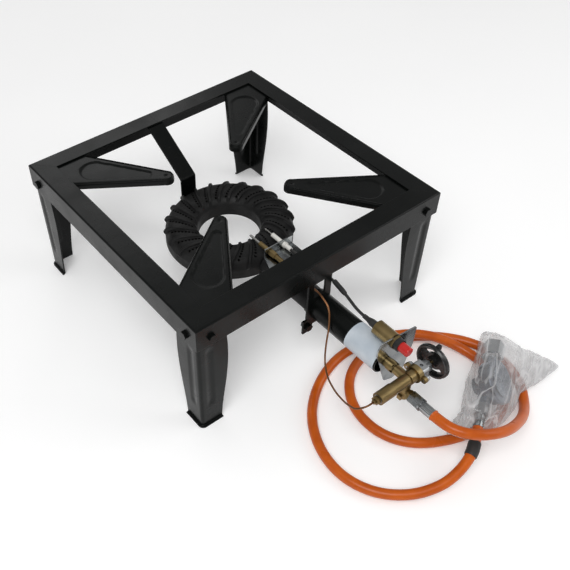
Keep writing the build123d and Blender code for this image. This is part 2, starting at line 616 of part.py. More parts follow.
def strap_and_bracket():
    half_strip = STRAP_THICK / 2
    foot_y = BURNER_OUTER_R + 0.1 + half_strip
    rail_edge = HALF - FLANGE
    route = [(HALF - 8, FLANGE_UNDER - half_strip),
             (rail_edge + 3, FLANGE_UNDER - half_strip),
             (foot_y, STRAP_BEND_Z), (foot_y, BURNER_BOTTOM + 3)]
    profile = polygon_face(strip_outline(route, STRAP_THICK))
    start = Plane(origin=(STRAP_X - STRAP_WIDTH / 2, 0, 0), x_dir=(0, 1, 0),
                  z_dir=(1, 0, 0))
    strap = extrude(start * profile, STRAP_WIDTH)
    strap = strap - rod_y(BOLT_R + HOLE_CLEARANCE, foot_y - 5, foot_y + 5, STRAP_X,
                          STRAP_BOLT_Z)
    pieces["back_strap"] = strap
    face = foot_y + half_strip
    bolt = hex_y(BOLT_HEAD_AF, face, face + BOLT_HEAD, STRAP_X, STRAP_BOLT_Z)
    bolt = bolt + rod_y(BOLT_R, BURNER_OUTER_R - 11, face, STRAP_X, STRAP_BOLT_Z)
    hex_bolts.append(bolt)

    skin = -HALF + RAIL_SHEET
    plate = block(BRACKET_LEFT, BRACKET_RIGHT, skin, skin + BRACKET_THICK,
                  BRACKET_BOTTOM, FLANGE_UNDER)
    plate = plate + block(CLIP_X - 8, CLIP_X + 8, skin, skin + BRACKET_THICK,
                          CLIP_Z - 10, BRACKET_BOTTOM + 12)
    plate = plate - rod_y(TUBE_R + FIT, skin - 1, skin + BRACKET_THICK + 1)
    plate = plate - block(WINDOW_LEFT, WINDOW_RIGHT, skin - 1, skin + BRACKET_THICK + 1,
                          WINDOW_LOW, WINDOW_HIGH)
    plate = plate - rod_y(BOLT_R + HOLE_CLEARANCE, skin - 1, skin + BRACKET_THICK + 1,
                          CLIP_X, CLIP_Z)
    pieces["front_bracket"] = plate
    back_face = skin + BRACKET_THICK
    clip = hex_y(BOLT_HEAD_AF, skin - BOLT_HEAD, skin, CLIP_X, CLIP_Z)
    clip = clip + rod_y(BOLT_R, skin, back_face + NUT_HEIGHT + 2, CLIP_X, CLIP_Z)
    hex_bolts.append(clip)
    nut = hex_y(BOLT_HEAD_AF, back_face, back_face + NUT_HEIGHT, CLIP_X, CLIP_Z)
    hex_nuts.append(nut - rod_y(BOLT_R + FIT, back_face - 1, back_face + NUT_HEIGHT + 3,
                                CLIP_X, CLIP_Z))


def mixer():
    tube = rod_y(TUBE_R, TUBE_MOUTH, TUBE_REAR)
    tube = tube - rod_y(TUBE_R - TUBE_WALL, TUBE_MOUTH - 1, TUBE_REAR + 1)
    for y in PANEL_SCREW_YS:
        tube = tube - rod_x(PANEL_SCREW_R + FIT, TUBE_R - 5, TUBE_R + 2, y)
    pieces["mixer_tube"] = tube
    label = rod_y(TUBE_R + FIT + LABEL_THICK, LABEL_FRONT, LABEL_REAR)
    label = label - rod_y(TUBE_R + FIT, LABEL_FRONT - 1, LABEL_REAR + 1)
    gap = PLATE_TAB_HALF + 2
    label = label - block(0, TUBE_R + 5, LABEL_FRONT - 1, LABEL_REAR + 1,
                          TUBE_Z - TUBE_R, TUBE_Z + gap)
    pieces["tube_label"] = label


# ------------------------------------------------------------------ flame sensing, spark
def sensors():
    base_top = SENSE_Z - THERMO_R - 1.0
    base = block(HOLDER_LEFT, HOLDER_RIGHT, HOLDER_END, HOLDER_Y,
                 base_top - HOLDER_SHEET, base_top)
    tab = block(THERMO_X - 9, HOLDER_RIGHT, HOLDER_Y - HOLDER_SHEET, HOLDER_Y,
                base_top - HOLDER_SHEET, HOLDER_TOP)
    corner = polygon_face([(HOLDER_LEFT - 1, HOLDER_Y + 1), (THERMO_X - 9, HOLDER_Y + 1),
                           (HOLDER_LEFT - 1, HOLDER_Y - 26)])
    base = base - Pos(0, 0, base_top - 5) * extrude(corner, 10)
    neck_top = TUBE_Z + TUBE_R - TUBE_WALL - FIT
    foot_y = (HOLDER_END + HOLDER_Y) / 2 - 12
    foot = block(-6, 6, foot_y - 6, foot_y + 6, TUBE_Z + 12, base_top - HOLDER_SHEET)
    foot = foot - rod_y(neck_top - TUBE_Z, foot_y - 8, foot_y + 8)
    holder = base + tab + foot
    holder = holder - rod_y(THERMO_R + FIT, HOLDER_Y - 5, HOLDER_Y + 5, THERMO_X, SENSE_Z)
    holder = holder - rod_y(CERAMIC_R + FIT, HOLDER_Y - 5, HOLDER_Y + 5, SPARK_X, SENSE_Z)
    pieces["sensor_bracket"] = holder

    body = rod_y(THERMO_R, THERMO_REAR, THERMO_FRONT, THERMO_X, SENSE_Z)
    hexed = hex_y(THERMO_R * 2 + 1.6, HOLDER_Y - 14, HOLDER_Y - HOLDER_SHEET,
                  THERMO_X, SENSE_Z)
    body = body + hexed
    body = body - rod_y(CAPILLARY_R + FIT, THERMO_REAR - 1, THERMO_REAR + 10,
                        THERMO_X, SENSE_Z)
    pieces["thermocouple_body"] = body
    tip_r = THERMO_R / 2
    tip = rod_y(tip_r, THERMO_FRONT, THERMO_TIP_END, THERMO_X, SENSE_Z)
    tip = fillet(tip.edges().sort_by(Axis.Y)[-1], tip_r * 0.8)
    pieces["thermocouple_tip"] = tip

    ceramic = rod_y(CERAMIC_R, CERAMIC_REAR, CERAMIC_FRONT, SPARK_X, SENSE_Z)
    ceramic = ceramic + rod_y(CERAMIC_R + 1.2, HOLDER_Y - HOLDER_SHEET - 4,
                              HOLDER_Y - HOLDER_SHEET, SPARK_X, SENSE_Z)
    ceramic = ceramic - rod_y(SPARK_ROD_R + FIT, CERAMIC_REAR - 1, CERAMIC_FRONT + 1,
                              SPARK_X, SENSE_Z)
    pieces["electrode_ceramic"] = ceramic
    pieces["electrode_rod"] = rod_y(SPARK_ROD_R, CERAMIC_REAR, SPARK_TIP_END,
                                    SPARK_X, SENSE_Z)

    capillary = [(THERMO_X, THERMO_REAR + LEAD_IN, SENSE_Z),
                 (THERMO_X, THERMO_REAR - LEAD_OUT, SENSE_Z), *CAPILLARY_POINTS,
                 (SENSOR_NUT_END + LEAD_IN / 2, VALVE_Y, TUBE_Z)]
    pieces["thermocouple_capillary"] = round_tube(capillary, CAPILLARY_R, "capillary")[0]
    lead = [(SPARK_X, CERAMIC_REAR, SENSE_Z), (SPARK_X, CERAMIC_REAR - LEAD_OUT, SENSE_Z),
            *LEAD_POINTS, (IGNITER_X, IGNITER_REAR + LEAD_IN, IGNITER_Z)]
    pieces["ignition_lead"] = round_tube(lead, LEAD_R, "ignition lead")[0]


# ------------------------------------------------------------------ panel and igniter
def panel():
    front = Plane(origin=(0, PLATE_BACK, 0), x_dir=(1, 0, 0), z_dir=(0, -1, 0))
    outline = polygon_face(PLATE_OUTLINE)
    outline = fillet(outline.vertices(), 3.0)
    plate = extrude(front * outline, PLATE_SHEET)
    tab_x = TUBE_R + FIT
    tab = block(tab_x, tab_x + PLATE_SHEET, PLATE_Y, PLATE_TAB_END,
                TUBE_Z - PLATE_TAB_HALF, TUBE_Z + PLATE_TAB_HALF)
    plate = plate + tab
    plate = plate - rod_y(INJECTOR_THREAD_R + HOLE_CLEARANCE, PLATE_Y - 5, PLATE_Y + 5)
    plate = plate - rod_y(IGNITER_NECK_R + FIT, PLATE_Y - 5, PLATE_Y + 5,
                          IGNITER_X, IGNITER_Z)
    screws = []
    for y in PANEL_SCREW_YS:
        plate = plate - rod_x(PANEL_SCREW_R + FIT, tab_x - 2, tab_x + 4, y)
        shank = rod_x(PANEL_SCREW_R, TUBE_R - TUBE_WALL - 2, tab_x + PLATE_SHEET, y)
        head = rod_x(PANEL_SCREW_R * 1.9, tab_x + PLATE_SHEET, tab_x + PLATE_SHEET + 2, y)
        screws.append(shank + head)
    pieces["panel_plate"] = plate
    pieces["panel_screws"] = Compound(screws)


def igniter():
    def along(r, y0, y1):
        return rod_y(r, y0, y1, IGNITER_X, IGNITER_Z)

    nut_front = PLATE_Y - IGNITER_NUT
    rear_wall = IGNITER_REAR - 6
    body = along(IGNITER_R, PLATE_BACK, IGNITER_REAR)
    body = body + along(IGNITER_NECK_R, nut_front - 2, PLATE_BACK)
    body = body - along(IGNITER_BORE_R, nut_front - 3, rear_wall)
    body = body - along(LEAD_R + FIT, rear_wall + 3, IGNITER_REAR + 1)
    pieces["igniter_body"] = body
    nut = hex_y(IGNITER_NUT_AF, nut_front, PLATE_Y, IGNITER_X, IGNITER_Z)
    pieces["igniter_nut"] = nut - along(IGNITER_NECK_R + FIT, nut_front - 1, PLATE_Y + 1)
    collar = along(COLLAR_R, COLLAR_FRONT, nut_front)
    collar = collar - along(IGNITER_NECK_R + FIT, nut_front - 2, nut_front + 1)
    pieces["igniter_collar"] = collar - along(IGNITER_BORE_R, COLLAR_FRONT - 1,
                                              nut_front + 1)
    button = along(IGNITER_BORE_R - RUN, BUTTON_FRONT, BUTTON_REAR)
    button = fillet(button.edges().sort_by(Axis.Y)[0], 1.2)
    pieces["igniter_button"] = button
    coil_r, wire_r = 3.6, 0.45
    first, last = BUTTON_REAR + 0.05 + wire_r, rear_wall - 0.05 - wire_r
    turns = 5
    helix = Helix(pitch=(last - first) / turns, height=last - first, radius=coil_r)
    section = Plane(origin=helix @ 0, z_dir=helix % 0) * Circle(wire_r)
    coil = sweep(section, helix, is_frenet=True)
    stand_up = Pos(IGNITER_X, first, IGNITER_Z) * Rot(-90, 0, 0)
    pieces["igniter_spring"] = stand_up * coil

    boot = turned([(LEAD_R + RUN, IGNITER_REAR), (BOOT_FRONT_R, IGNITER_REAR),
                   (BOOT_FRONT_R - 0.4, IGNITER_REAR + 9), (3.2, IGNITER_REAR + 16),
                   (LEAD_R + 0.9, BOOT_TAIL), (LEAD_R + RUN, BOOT_TAIL)])
    lie_back = Pos(IGNITER_X, 0, IGNITER_Z) * Rot(-90, 0, 0)
    pieces["igniter_boot"] = lie_back * boot


# ------------------------------------------------------------------ gas valve
def valve():
    boss_x = 0.0
    magnet_rear = -38.0
    body = rod_x(MAGNET_END_R, BARREL_END, MAGNET_END_FRONT)
    body = body + rod_x(BARREL_R, MAGNET_END_FRONT, 2)
    body = body + rod_x(BARREL_R + 1.3, 0, FLANGE_X0)
    body = body + rod_x(FLANGE_R, FLANGE_X0, FLANGE_X1)
    lug_plate = 4.5
    for side in (-1, 1):
        y = VALVE_Y + side * LUG_Y
        body = body + rod_x(LUG_R, FLANGE_X1 - lug_plate, FLANGE_X1, y)
        body = body - rod_x(1.5 + FIT, FLANGE_X1 - lug_plate - 1, FLANGE_X1 + 1, y)
    outlet_end = INJECTOR_NUT_FRONT - 1
    body = body + rod_y(BOSS_R, VALVE_Y, outlet_end)
    body = body + rod_y(INJECTOR_THREAD_R, outlet_end, PLATE_BACK + 3)
    body = body + rod_z(BOSS_R, BOSS_BOTTOM, TUBE_Z, boss_x, VALVE_Y)
    body = body + block(boss_x - BOSS_R - 2.5, boss_x, VALVE_Y - 3, VALVE_Y + 3,
                        BOSS_BOTTOM, BOSS_BOTTOM + 7)
    body = body + rod_y(6.0, SOCKET_FACE, VALVE_Y, boss_x, HOSE_Z)
    # bores: magnet pocket, seat, plug chamber, gas ways
    body = body - rod_x(MAGNET_R + FIT, BARREL_END - 1, SEAT_X)
    body = body - rod_x(3.0, SEAT_X - 1, -8)
    body = body - rod_x(PLUG_R + RUN, -8, FLANGE_X1 + 1)
    gas_way = 2.2
    body = body - rod_y(gas_way, VALVE_Y + 1, PLATE_BACK + 4)
    body = body - rod_z(gas_way, HOSE_Z, TUBE_Z, boss_x, VALVE_Y)
    body = body - rod_y(gas_way, SOCKET_FACE - 1, VALVE_Y, boss_x, HOSE_Z)
    pieces["valve_body"] = body

    injector = rod_y(INJECTOR_THREAD_R + 1.6, PLATE_BACK, PLATE_BACK + 6)
    injector = injector + rod_y(3.5, PLATE_BACK + 5, INJECTOR_TIP)
    injector = injector - rod_y(INJECTOR_THREAD_R + FIT, PLATE_BACK - 1, PLATE_BACK + 3.1)
    pieces["injector"] = injector - rod_y(0.6, PLATE_BACK, INJECTOR_TIP + 1)
    nut = rod_y(INJECTOR_NUT_R, INJECTOR_NUT_FRONT, INJECTOR_NUT_STEP)
    nut = nut + rod_y(INJECTOR_COLLAR_R, INJECTOR_NUT_STEP, PLATE_Y)
    nut = nut - rod_y(INJECTOR_THREAD_R + FIT, INJECTOR_NUT_FRONT - 1, PLATE_Y + 1)
    for i in range(3):
        notch = Rot(0, 60 * i, 0) * Box(24, 5, 3)
        nut = nut - Pos(0, INJECTOR_NUT_FRONT, TUBE_Z) * notch
    pieces["injector_nut"] = nut

    plug_face = 9.0
    plug = rod_x(PLUG_R, -7.5, plug_face)
    plug = plug - rod_x(PIN_R + RUN, -9, 3)
    room = KEY_SIDE + 4 * RUN
    plug = plug - block(-3.5, plug_face + 1, VALVE_Y - room / 2, VALVE_Y + room / 2,
                        TUBE_Z - room / 2, TUBE_Z + room / 2)
    plug = plug - rod_y(gas_way - 0.2, VALVE_Y, VALVE_Y + 10, boss_x)
    plug = plug - rod_z(gas_way - 0.2, TUBE_Z - 10, TUBE_Z, boss_x, VALVE_Y)
    pieces["tap_plug"] = plug

    key_start = 2.0
    spindle = block(key_start, 11, VALVE_Y - KEY_SIDE / 2, VALVE_Y + KEY_SIDE / 2,
                    TUBE_Z - KEY_SIDE / 2, TUBE_Z + KEY_SIDE / 2)
    spindle = spindle + rod_x(SPINDLE_R, 14, 47)
    spindle = spindle + rod_x(KEY_SIDE / 2, 11, 14)
    collar_x = 24.2
    spindle = spindle + rod_x(SPINDLE_R + 1.6, collar_x, collar_x + 1.6)
    pieces["spindle"] = spindle

    push_pin = rod_x(PIN_R, SEAT_X - 1, key_start - 0.05)
    pieces["push_pin"] = push_pin
    disc = rod_x(DISC_R, SEAT_X - 3.5, SEAT_X - 1) + rod_x(1.2, -35, SEAT_X - 3)
    pieces["safety_disc"] = disc
    magnet = rod_x(MAGNET_R, BARREL_END, magnet_rear - 1)
    magnet = magnet + rod_x(4.6, magnet_rear - 2, -36)
    magnet = magnet - rod_x(1.2 + RUN, -43, -35)
    pieces["safety_magnet"] = magnet
    sensor_nut = hex_x(10.0, SENSOR_NUT_END + 3, BARREL_END)
    sensor_nut = sensor_nut + rod_x(2.8, SENSOR_NUT_END, SENSOR_NUT_END + 4)
    pieces["sensor_nut"] = sensor_nut - rod_x(CAPILLARY_R + FIT, SENSOR_NUT_END - 1,
                                              SENSOR_NUT_END + 4.2)

    half = BONNET_SIDE / 2
    bonnet = block(FLANGE_X1, BONNET_X1, VALVE_Y - half, VALVE_Y + half,
                   TUBE_Z - half, TUBE_Z + half)
    bonnet = fillet(bonnet.edges().filter_by(Axis.X), 3.5)
    bonnet = bonnet + rod_x(BONNET_NECK_R, BONNET_X1, BONNET_END)
    for i in range(10):
        a, b, _ = polar(BONNET_NECK_R + 0.6, 36 * i)
        bonnet = bonnet - rod_x(1.4, BONNET_X1 + 1, BONNET_END + 1, VALVE_Y + a, TUBE_Z + b)
    ear, ear_r = 3.0, LUG_R - 0.5
    bonnet = bonnet + block(FLANGE_X1, FLANGE_X1 + ear, VALVE_Y - LUG_Y, VALVE_Y + LUG_Y,
                            TUBE_Z - ear_r, TUBE_Z + ear_r)
    for side in (-1, 1):
        y = VALVE_Y + side * LUG_Y
        bonnet = bonnet + rod_x(ear_r, FLANGE_X1, FLANGE_X1 + ear, y)
        bonnet = bonnet - rod_x(1.5 + FIT, FLANGE_X1 - 1, FLANGE_X1 + ear + 1, y)
    pocket_r = 6.4
    bonnet = bonnet - rod_x(pocket_r, FLANGE_X1 - 1, BONNET_X1 + 2)
    bonnet = bonnet - rod_x(SPINDLE_R + RUN, BONNET_X1, BONNET_END + 1)
    bonnet = bonnet - rod_z(2.2, TUBE_Z + half - 2, TUBE_Z + half + 1, 22.0, VALVE_Y)
    pieces["bonnet"] = bonnet
    screws = []
    for side in (-1, 1):
        y = VALVE_Y + side * LUG_Y
        face = FLANGE_X1 + ear
        screws.append(rod_x(1.5, FLANGE_X1 - lug_plate, face, y)
                      + rod_x(2.8, face, face + 2, y))
    pieces["bonnet_screws"] = Compound(screws)

    spring_r, wire_r = PLUG_R - 0.65, 0.5
    first, last = plug_face + 0.05 + wire_r, collar_x - wire_r - 0.05
    turns = 4
    helix = Helix(pitch=(last - first) / turns, height=last - first, radius=spring_r)
    section = Plane(origin=helix @ 0, z_dir=helix % 0) * Circle(wire_r)
    coil = sweep(section, helix, is_frenet=True)
    pieces["return_spring"] = Pos(first, VALVE_Y, TUBE_Z) * Rot(0, 90, 0) * coil


def knob():
    def lathe(points):
        """(radius, x) points turned about the valve axis."""
        solid = turned(points)
        return Pos(0, VALVE_Y, TUBE_Z) * Rot(0, 90, 0) * solid

    hub_r = 7.0
    web_in, web_out = KNOB_BACK + 4.2, KNOB_FRONT - 4.3
    wheel = lathe([(0, KNOB_BACK), (hub_r, KNOB_BACK), (hub_r + 0.8, web_in),
                   (KNOB_R - 4.5, web_in + 0.6), (KNOB_R - 3.6, KNOB_BACK + 1.4),
                   (KNOB_R - 1.2, KNOB_BACK + 1.0), (KNOB_R, KNOB_BACK + 3.2),
                   (KNOB_R, KNOB_BACK + 6.2), (KNOB_R - 1.8, web_out + 1.2),
                   (KNOB_R - 6.0, web_out + 0.6), (hub_r + 2.5, web_out + 1.4),
                   (hub_r + 0.5, KNOB_FRONT - 0.8), (hub_r - 1, KNOB_FRONT),
                   (0, KNOB_FRONT)])
    wheel = wheel - rod_x(SPINDLE_R + FIT, KNOB_BACK - 1, 47.1)
    slot_mid, slot_half = 14.5, 2.6
    for middle in (60, 240):
        spots = [polar(slot_mid, middle + side) for side in (-24, 0, 24)]
        arc = ThreePointArc(*[p[:2] for p in spots])
        slot = SlotArc(arc, 2 * slot_half)
        cutter = extrude(slot, 30)
        place = Plane(origin=(KNOB_BACK - 5, VALVE_Y, TUBE_Z), x_dir=(0, 1, 0),
                      z_dir=(1, 0, 0))
        wheel = wheel - place * cutter
    notch_y, notch_z, _ = polar(KNOB_R + 1.0, 215)
    wheel = wheel - rod_x(3.2, KNOB_BACK - 1, KNOB_FRONT, VALVE_Y + notch_y,
                          TUBE_Z + notch_z)
    nub = block(web_out - 1.0, KNOB_FRONT + 0.5, VALVE_Y - 2.4, VALVE_Y + 2.4,
                TUBE_Z + hub_r - 2, TUBE_Z + KNOB_R + 1.0)
    wheel = wheel + (nub - rod_x(hub_r - 1.5, web_out - 2, KNOB_FRONT + 2))
    pieces["knob"] = wheel


# ------------------------------------------------------------------ hose and its ends
def fluted(shape_maker, flute_at, radius):
    """A ferrule with crimp flutes round it."""
    ferrule = shape_maker(radius)
    for i in range(FLUTE_COUNT):
        a, b, _ = polar(radius + 0.7, 360 / FLUTE_COUNT * i)
        ferrule = ferrule - flute_at(a, b)
    return ferrule


def hose_start():
    nipple = hex_y(13.0, HOSE_NUT_REAR, SOCKET_FACE, 0.0, HOSE_Z)
    nipple = nipple + rod_y(NIPPLE_R, HOSE_START + 2, HOSE_NUT_REAR, 0.0, HOSE_Z)
    pieces["hose_nipple"] = nipple - rod_y(3.0, HOSE_START, SOCKET_FACE + 1, 0.0, HOSE_Z)
    nut = hex_y(HOSE_NUT_AF, HOSE_NUT_FRONT, HOSE_NUT_REAR, 0.0, HOSE_Z)
    nut = nut + rod_y(HOSE_NUT_AF / 2 + 0.6, HOSE_NUT_FRONT, HOSE_NUT_FRONT + 2.5,
                      0.0, HOSE_Z)
    pieces["hose_nut"] = nut - rod_y(NIPPLE_R + FIT, HOSE_NUT_FRONT - 1,
                                     HOSE_NUT_REAR + 1, 0.0, HOSE_Z)

    def blank(r):
        return rod_y(r, HOSE_START, HOSE_NUT_FRONT, 0.0, HOSE_Z)

    def flute_at(a, b):
        return rod_y(1.3, HOSE_START + 1.5, HOSE_NUT_FRONT - 2, a, HOSE_Z + b)

    ferrule = fluted(blank, flute_at, FERRULE_R)
    pieces["hose_ferrule"] = ferrule - rod_y(NIPPLE_R + FIT, HOSE_START - 1,
                                             HOSE_NUT_FRONT + 1, 0.0, HOSE_Z)


def regulator_plane():
    """Local frame of the regulator: X along the flow, Z out of the cover."""
    run = math.hypot(*REG_ALONG)
    along = (REG_ALONG[0] / run, REG_ALONG[1] / run, 0.0)
    tilt = math.radians(REG_TILT)
    normal = (along[1] * math.cos(tilt), -along[0] * math.cos(tilt), math.sin(tilt))
    back = REG_COVER + REG_BODY
    below = max(back * math.sin(tilt) + REG_BODY_R * math.cos(tilt),
                (back + REG_CHIMNEY) * math.sin(tilt) + REG_CHIMNEY_R * math.cos(tilt))
    height = BAG_BOTTOM + FILM + BAG_REST + below
    return Plane(origin=(*REG_CENTRE, height), x_dir=along, z_dir=normal)


def regulator():
    here = regulator_plane()
    flow = -REG_FLOW_OFFSET

    def disc(r, z0, z1):
        return Pos(0, 0, (z0 + z1) / 2) * Cylinder(r, z1 - z0)

    def pipe(r, x0, x1, y=0.0, z=flow):
        return Pos((x0 + x1) / 2, y, z) * Rot(0, 90, 0) * Cylinder(r, x1 - x0)

    back = -(REG_COVER + REG_BODY)
    body = disc(REG_BODY_R, back, -REG_COVER)
    body = fillet(body.edges().sort_by(Axis.Z)[0], 3.0)
    body = body + disc(REG_CHIMNEY_R, back - REG_CHIMNEY, back)
    body = body + pipe(REG_PIPE_R, REG_OUTLET, REG_INLET - 2)
    body = body + pipe(REG_SPIGOT_R, REG_INLET - 4, REG_INLET + 10)
    collar_x = REG_INLET + 10
    body = body + pipe(REG_SPIGOT_R + 1.8, collar_x, collar_x + 3)
    body = body - disc(REG_BODY_R - 3, back + 3, 0)
    body = body - pipe(2.5, REG_OUTLET - 1, collar_x + 4)
    pieces["regulator_body"] = here * body

    cover = disc(REG_COVER_R, -REG_COVER, 0)
    cover = fillet(cover.edges().sort_by(Axis.Z)[-1], 2.0)
    cover = cover - disc(REG_COVER_R - 3, -REG_COVER - 1, -2)
    cover = cover + disc(REG_COVER_R - 9, -1, 1.2)
    pieces["regulator_cover"] = here * cover

    hexagonal = extrude(Plane(origin=(REG_INLET, 0, flow), x_dir=(0, 1, 0),
                              z_dir=(1, 0, 0)) * hexagon(REG_NUT_AF),
                        REG_NUT_END - REG_INLET)
    nut = hexagonal - pipe(REG_SPIGOT_R + RUN, REG_INLET - 1, collar_x)
    nut = nut - pipe(REG_SPIGOT_R + 2.2, collar_x - 0.3, collar_x + 4)
    pieces["regulator_nut"] = here * (nut - pipe(REG_NUT_BORE_R, collar_x + 3.3,
                                                 REG_NUT_END + 1))

    nut_end = REG_OUTLET - REG_HOSE_NUT
    ferrule_end = nut_end - REG_FERRULE

    def blank(r):
        return pipe(r, ferrule_end, nut_end)

    def flute_at(a, b):
        return pipe(1.3, ferrule_end + 1.5, nut_end - 2, a, flow + b)

    hose_nut = extrude(Plane(origin=(nut_end, 0, flow), x_dir=(0, 1, 0),
                             z_dir=(1, 0, 0)) * hexagon(HOSE_NUT_AF), REG_HOSE_NUT)
    hose_nut = hose_nut + pipe(HOSE_NUT_AF / 2 + 0.6, nut_end, nut_end + 2.5)
    pieces["regulator_ferrule"] = Compound([here * hose_nut,
                                            here * fluted(blank, flute_at, FERRULE_R)])


def bag_outline(points, shrink):
    """A plan outline of the bag in the row frame, drawn in by the film if asked."""
    run = math.hypot(*REG_ALONG)
    along = (REG_ALONG[0] / run, REG_ALONG[1] / run)
    start = hose_end()
    face = polygon_face([(start.X + u * along[0] + v * along[1],
                          start.Y + u * along[1] - v * along[0]) for u, v in points])
    return offset(face, -shrink, kind=Kind.INTERSECTION) if shrink else face


def bag_solid(low, high, z0, z1, shrink=0.0):
    """The bag's outer or inner shape between two outlines."""
    return loft([Pos(0, 0, z0) * bag_outline(low, shrink),
                 Pos(0, 0, z1) * bag_outline(high, shrink)], ruled=True)


def hose_end(before=0.0):
    """A point of the hose's axis at, or before, the regulator's ferrule."""
    reach = REG_OUTLET - REG_HOSE_NUT - REG_FERRULE - before
    return regulator_plane().from_local_coords(Vector(reach, 0, -REG_FLOW_OFFSET))


def hose_and_bag():
    last = [(p.X, p.Y, p.Z) for p in (hose_end(HOSE_LAST_RUN), hose_end())]
    route = HOSE_POINTS + last
    hose, path = round_tube(route, HOSE_R, "gas hose")
    pieces["gas_hose"] = hose
    print("hose end points", [tuple(round(v, 1) for v in p) for p in route[-3:]])

    # the sleeve follows the hose's bend
    spots = [path.position_at(1 - back / path.length)
             for back in (SLEEVE_FROM, (SLEEVE_FROM + SLEEVE_TO) / 2, SLEEVE_TO)]
    bend = ThreePointArc(*spots)
    section = Plane(origin=bend @ 0, z_dir=bend % 0)
    ring = Circle(SLEEVE_R) - Circle(SLEEVE_BORE_R)
    pieces["hose_sleeve"] = sweep(section * ring, bend)

    shell = bag_solid(BAG_FOOT, BAG_SHOULDER, BAG_BOTTOM, BAG_MIDDLE)
    shell = shell + bag_solid(TENT_BASE, TENT_RIDGE, TENT_FOOT, BAG_TOP)
    inset = FILM + FILM_SLANT
    shell = shell - bag_solid(BAG_FOOT, BAG_SHOULDER, BAG_BOTTOM + FILM, BAG_MIDDLE - FILM,
                              inset)
    shell = shell - bag_solid(TENT_BASE, TENT_RIDGE, TENT_FOOT - FILM, BAG_TOP - FILM, inset)
    mouth_r, mouth = HOSE_R + 3, 40
    hole = Pos(REG_OUTLET - REG_HOSE_NUT - REG_FERRULE, 0, -REG_FLOW_OFFSET) * Rot(
        0, 90, 0) * Cylinder(mouth_r, mouth)
    pieces["regulator_bag"] = shell - regulator_plane() * hole


def build():
    stand()
    burner()
    strap_and_bracket()
    mixer()
    sensors()
    panel()
    igniter()
    valve()
    knob()
    hose_start()
    regulator()
    hose_and_bag()
    pieces["hex_bolts"] = Compound(hex_bolts)
    pieces["hex_nuts"] = Compound(hex_nuts)
    os.makedirs("parts", exist_ok=True)
    for name, shape in pieces.items():
        export_step(shape, "parts/" + name + ".step")
    print(len(pieces), "nodes")


build()
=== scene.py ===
"""Looks of the stock pot range: materials, cast and pressed shapes, gas hose, bagged regulator.

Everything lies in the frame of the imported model. The camera, the studio, the hose's length and
diameter and the materials are in metres. Points and sizes of shapes are in millimetres, and turn
into metres where a mesh or a curve is made from them.
"""

import json
import math

import bmesh
import bpy
import numpy as np
from mathutils import Matrix, Vector, noise


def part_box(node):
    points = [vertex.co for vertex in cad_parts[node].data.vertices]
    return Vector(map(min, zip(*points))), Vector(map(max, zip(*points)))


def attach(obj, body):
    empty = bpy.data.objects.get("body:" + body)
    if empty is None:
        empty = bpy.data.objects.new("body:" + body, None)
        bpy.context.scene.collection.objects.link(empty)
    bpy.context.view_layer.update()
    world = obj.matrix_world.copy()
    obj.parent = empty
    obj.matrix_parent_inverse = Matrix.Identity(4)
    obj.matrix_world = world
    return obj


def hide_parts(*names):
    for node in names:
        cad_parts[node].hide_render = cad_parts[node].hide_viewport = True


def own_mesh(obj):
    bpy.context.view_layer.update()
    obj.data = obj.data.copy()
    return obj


MM = 0.001
CRISP_ANGLE, SOFT_ANGLE = 38, 60   # degrees between two faces, above which their edge is sharp

# Studio
LAMPS = [                          # name, place, aim, size, watts
    ("key", (-1.0, -0.9, 1.9), (0, -0.1, 0.1), (1.2, 1.2), 27),
    ("fill", (1.6, -1.2, 1.2), (0, -0.2, 0.1), (1.4, 1.0), 11),
    ("rim", (0.4, 1.9, 1.5), (0, 0, 0.1), (1.6, 0.8), 6),
]
SKY_STRENGTH = 0.40
FLOOR_REACH = 12.0
FLOOR_LIFT = 0.14                  # brings the lit floor up to the photograph's white

# Camera, as the photograph's perspective gives it
CAMERA_AZIMUTH = -35.36
CAMERA_ELEVATION = 47.65
CAMERA_ROLL = -2.18
CAMERA_DISTANCE = 0.88863
CAMERA_AIM = (-0.1685, -0.19897, 0.190)
SENSOR_MM = 36.0
PHOTO_PIXELS = 570.0
FOCAL_PIXELS = 782.69
AXIS_PIXEL = (217.35, 319.64)      # where the optical axis meets the photograph

# Gas hose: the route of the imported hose, and the pieces on it
HOSE_DIAMETER = 0.0133
HOSE_POINTS_MM = [
    (0.0, -396.0, 77.0), (0.0, -416.0, 77.0), (8.0, -435.0, 77.0), (24.5, -449.5, 74.5),
    (44.0, -457.0, 68.5), (67.0, -459.5, 58.0), (94.5, -455.5, 43.0), (123.5, -447.0, 25.0),
    (152.5, -431.5, 7.2), (175.0, -408.0, 6.65), (188.0, -377.0, 6.65), (190.0, -342.0, 6.65),
    (177.0, -309.0, 6.65), (152.0, -279.0, 6.65), (119.0, -254.0, 6.65), (80.0, -242.0, 6.65),
    (39.0, -242.0, 6.65), (4.5, -257.0, 6.65), (-20.5, -286.0, 6.65), (-30.0, -320.0, 6.65),
    (-25.0, -356.0, 6.65), (-4.0, -386.0, 6.65), (28.5, -406.0, 6.65), (65.5, -419.0, 6.65),
    (101.0, -426.0, 6.65), (134.0, -415.0, 6.65), (157.0, -387.0, 6.65), (166.0, -351.0, 6.65),
    (160.0, -314.5, 9.5), (137.5, -282.0, 21.5), (107.0, -253.5, 21.5), (71.0, -232.0, 12.0),
    (32.5, -221.0, 6.65), (-8.0, -228.0, 6.65), (-48.5, -247.5, 6.65), (-82.5, -278.0, 6.65),
    (-104.5, -320.0, 6.65), (-109.0, -365.0, 6.65), (-93.5, -405.0, 6.65),
    (-62.5, -434.5, 8.0), (-28.0, -450.0, 15.0), (-1.0, -452.0, 23.0), (24.0, -447.5, 31.5),
    (41.7, -436.8, 36.6), (55.3, -428.4, 36.6),
]
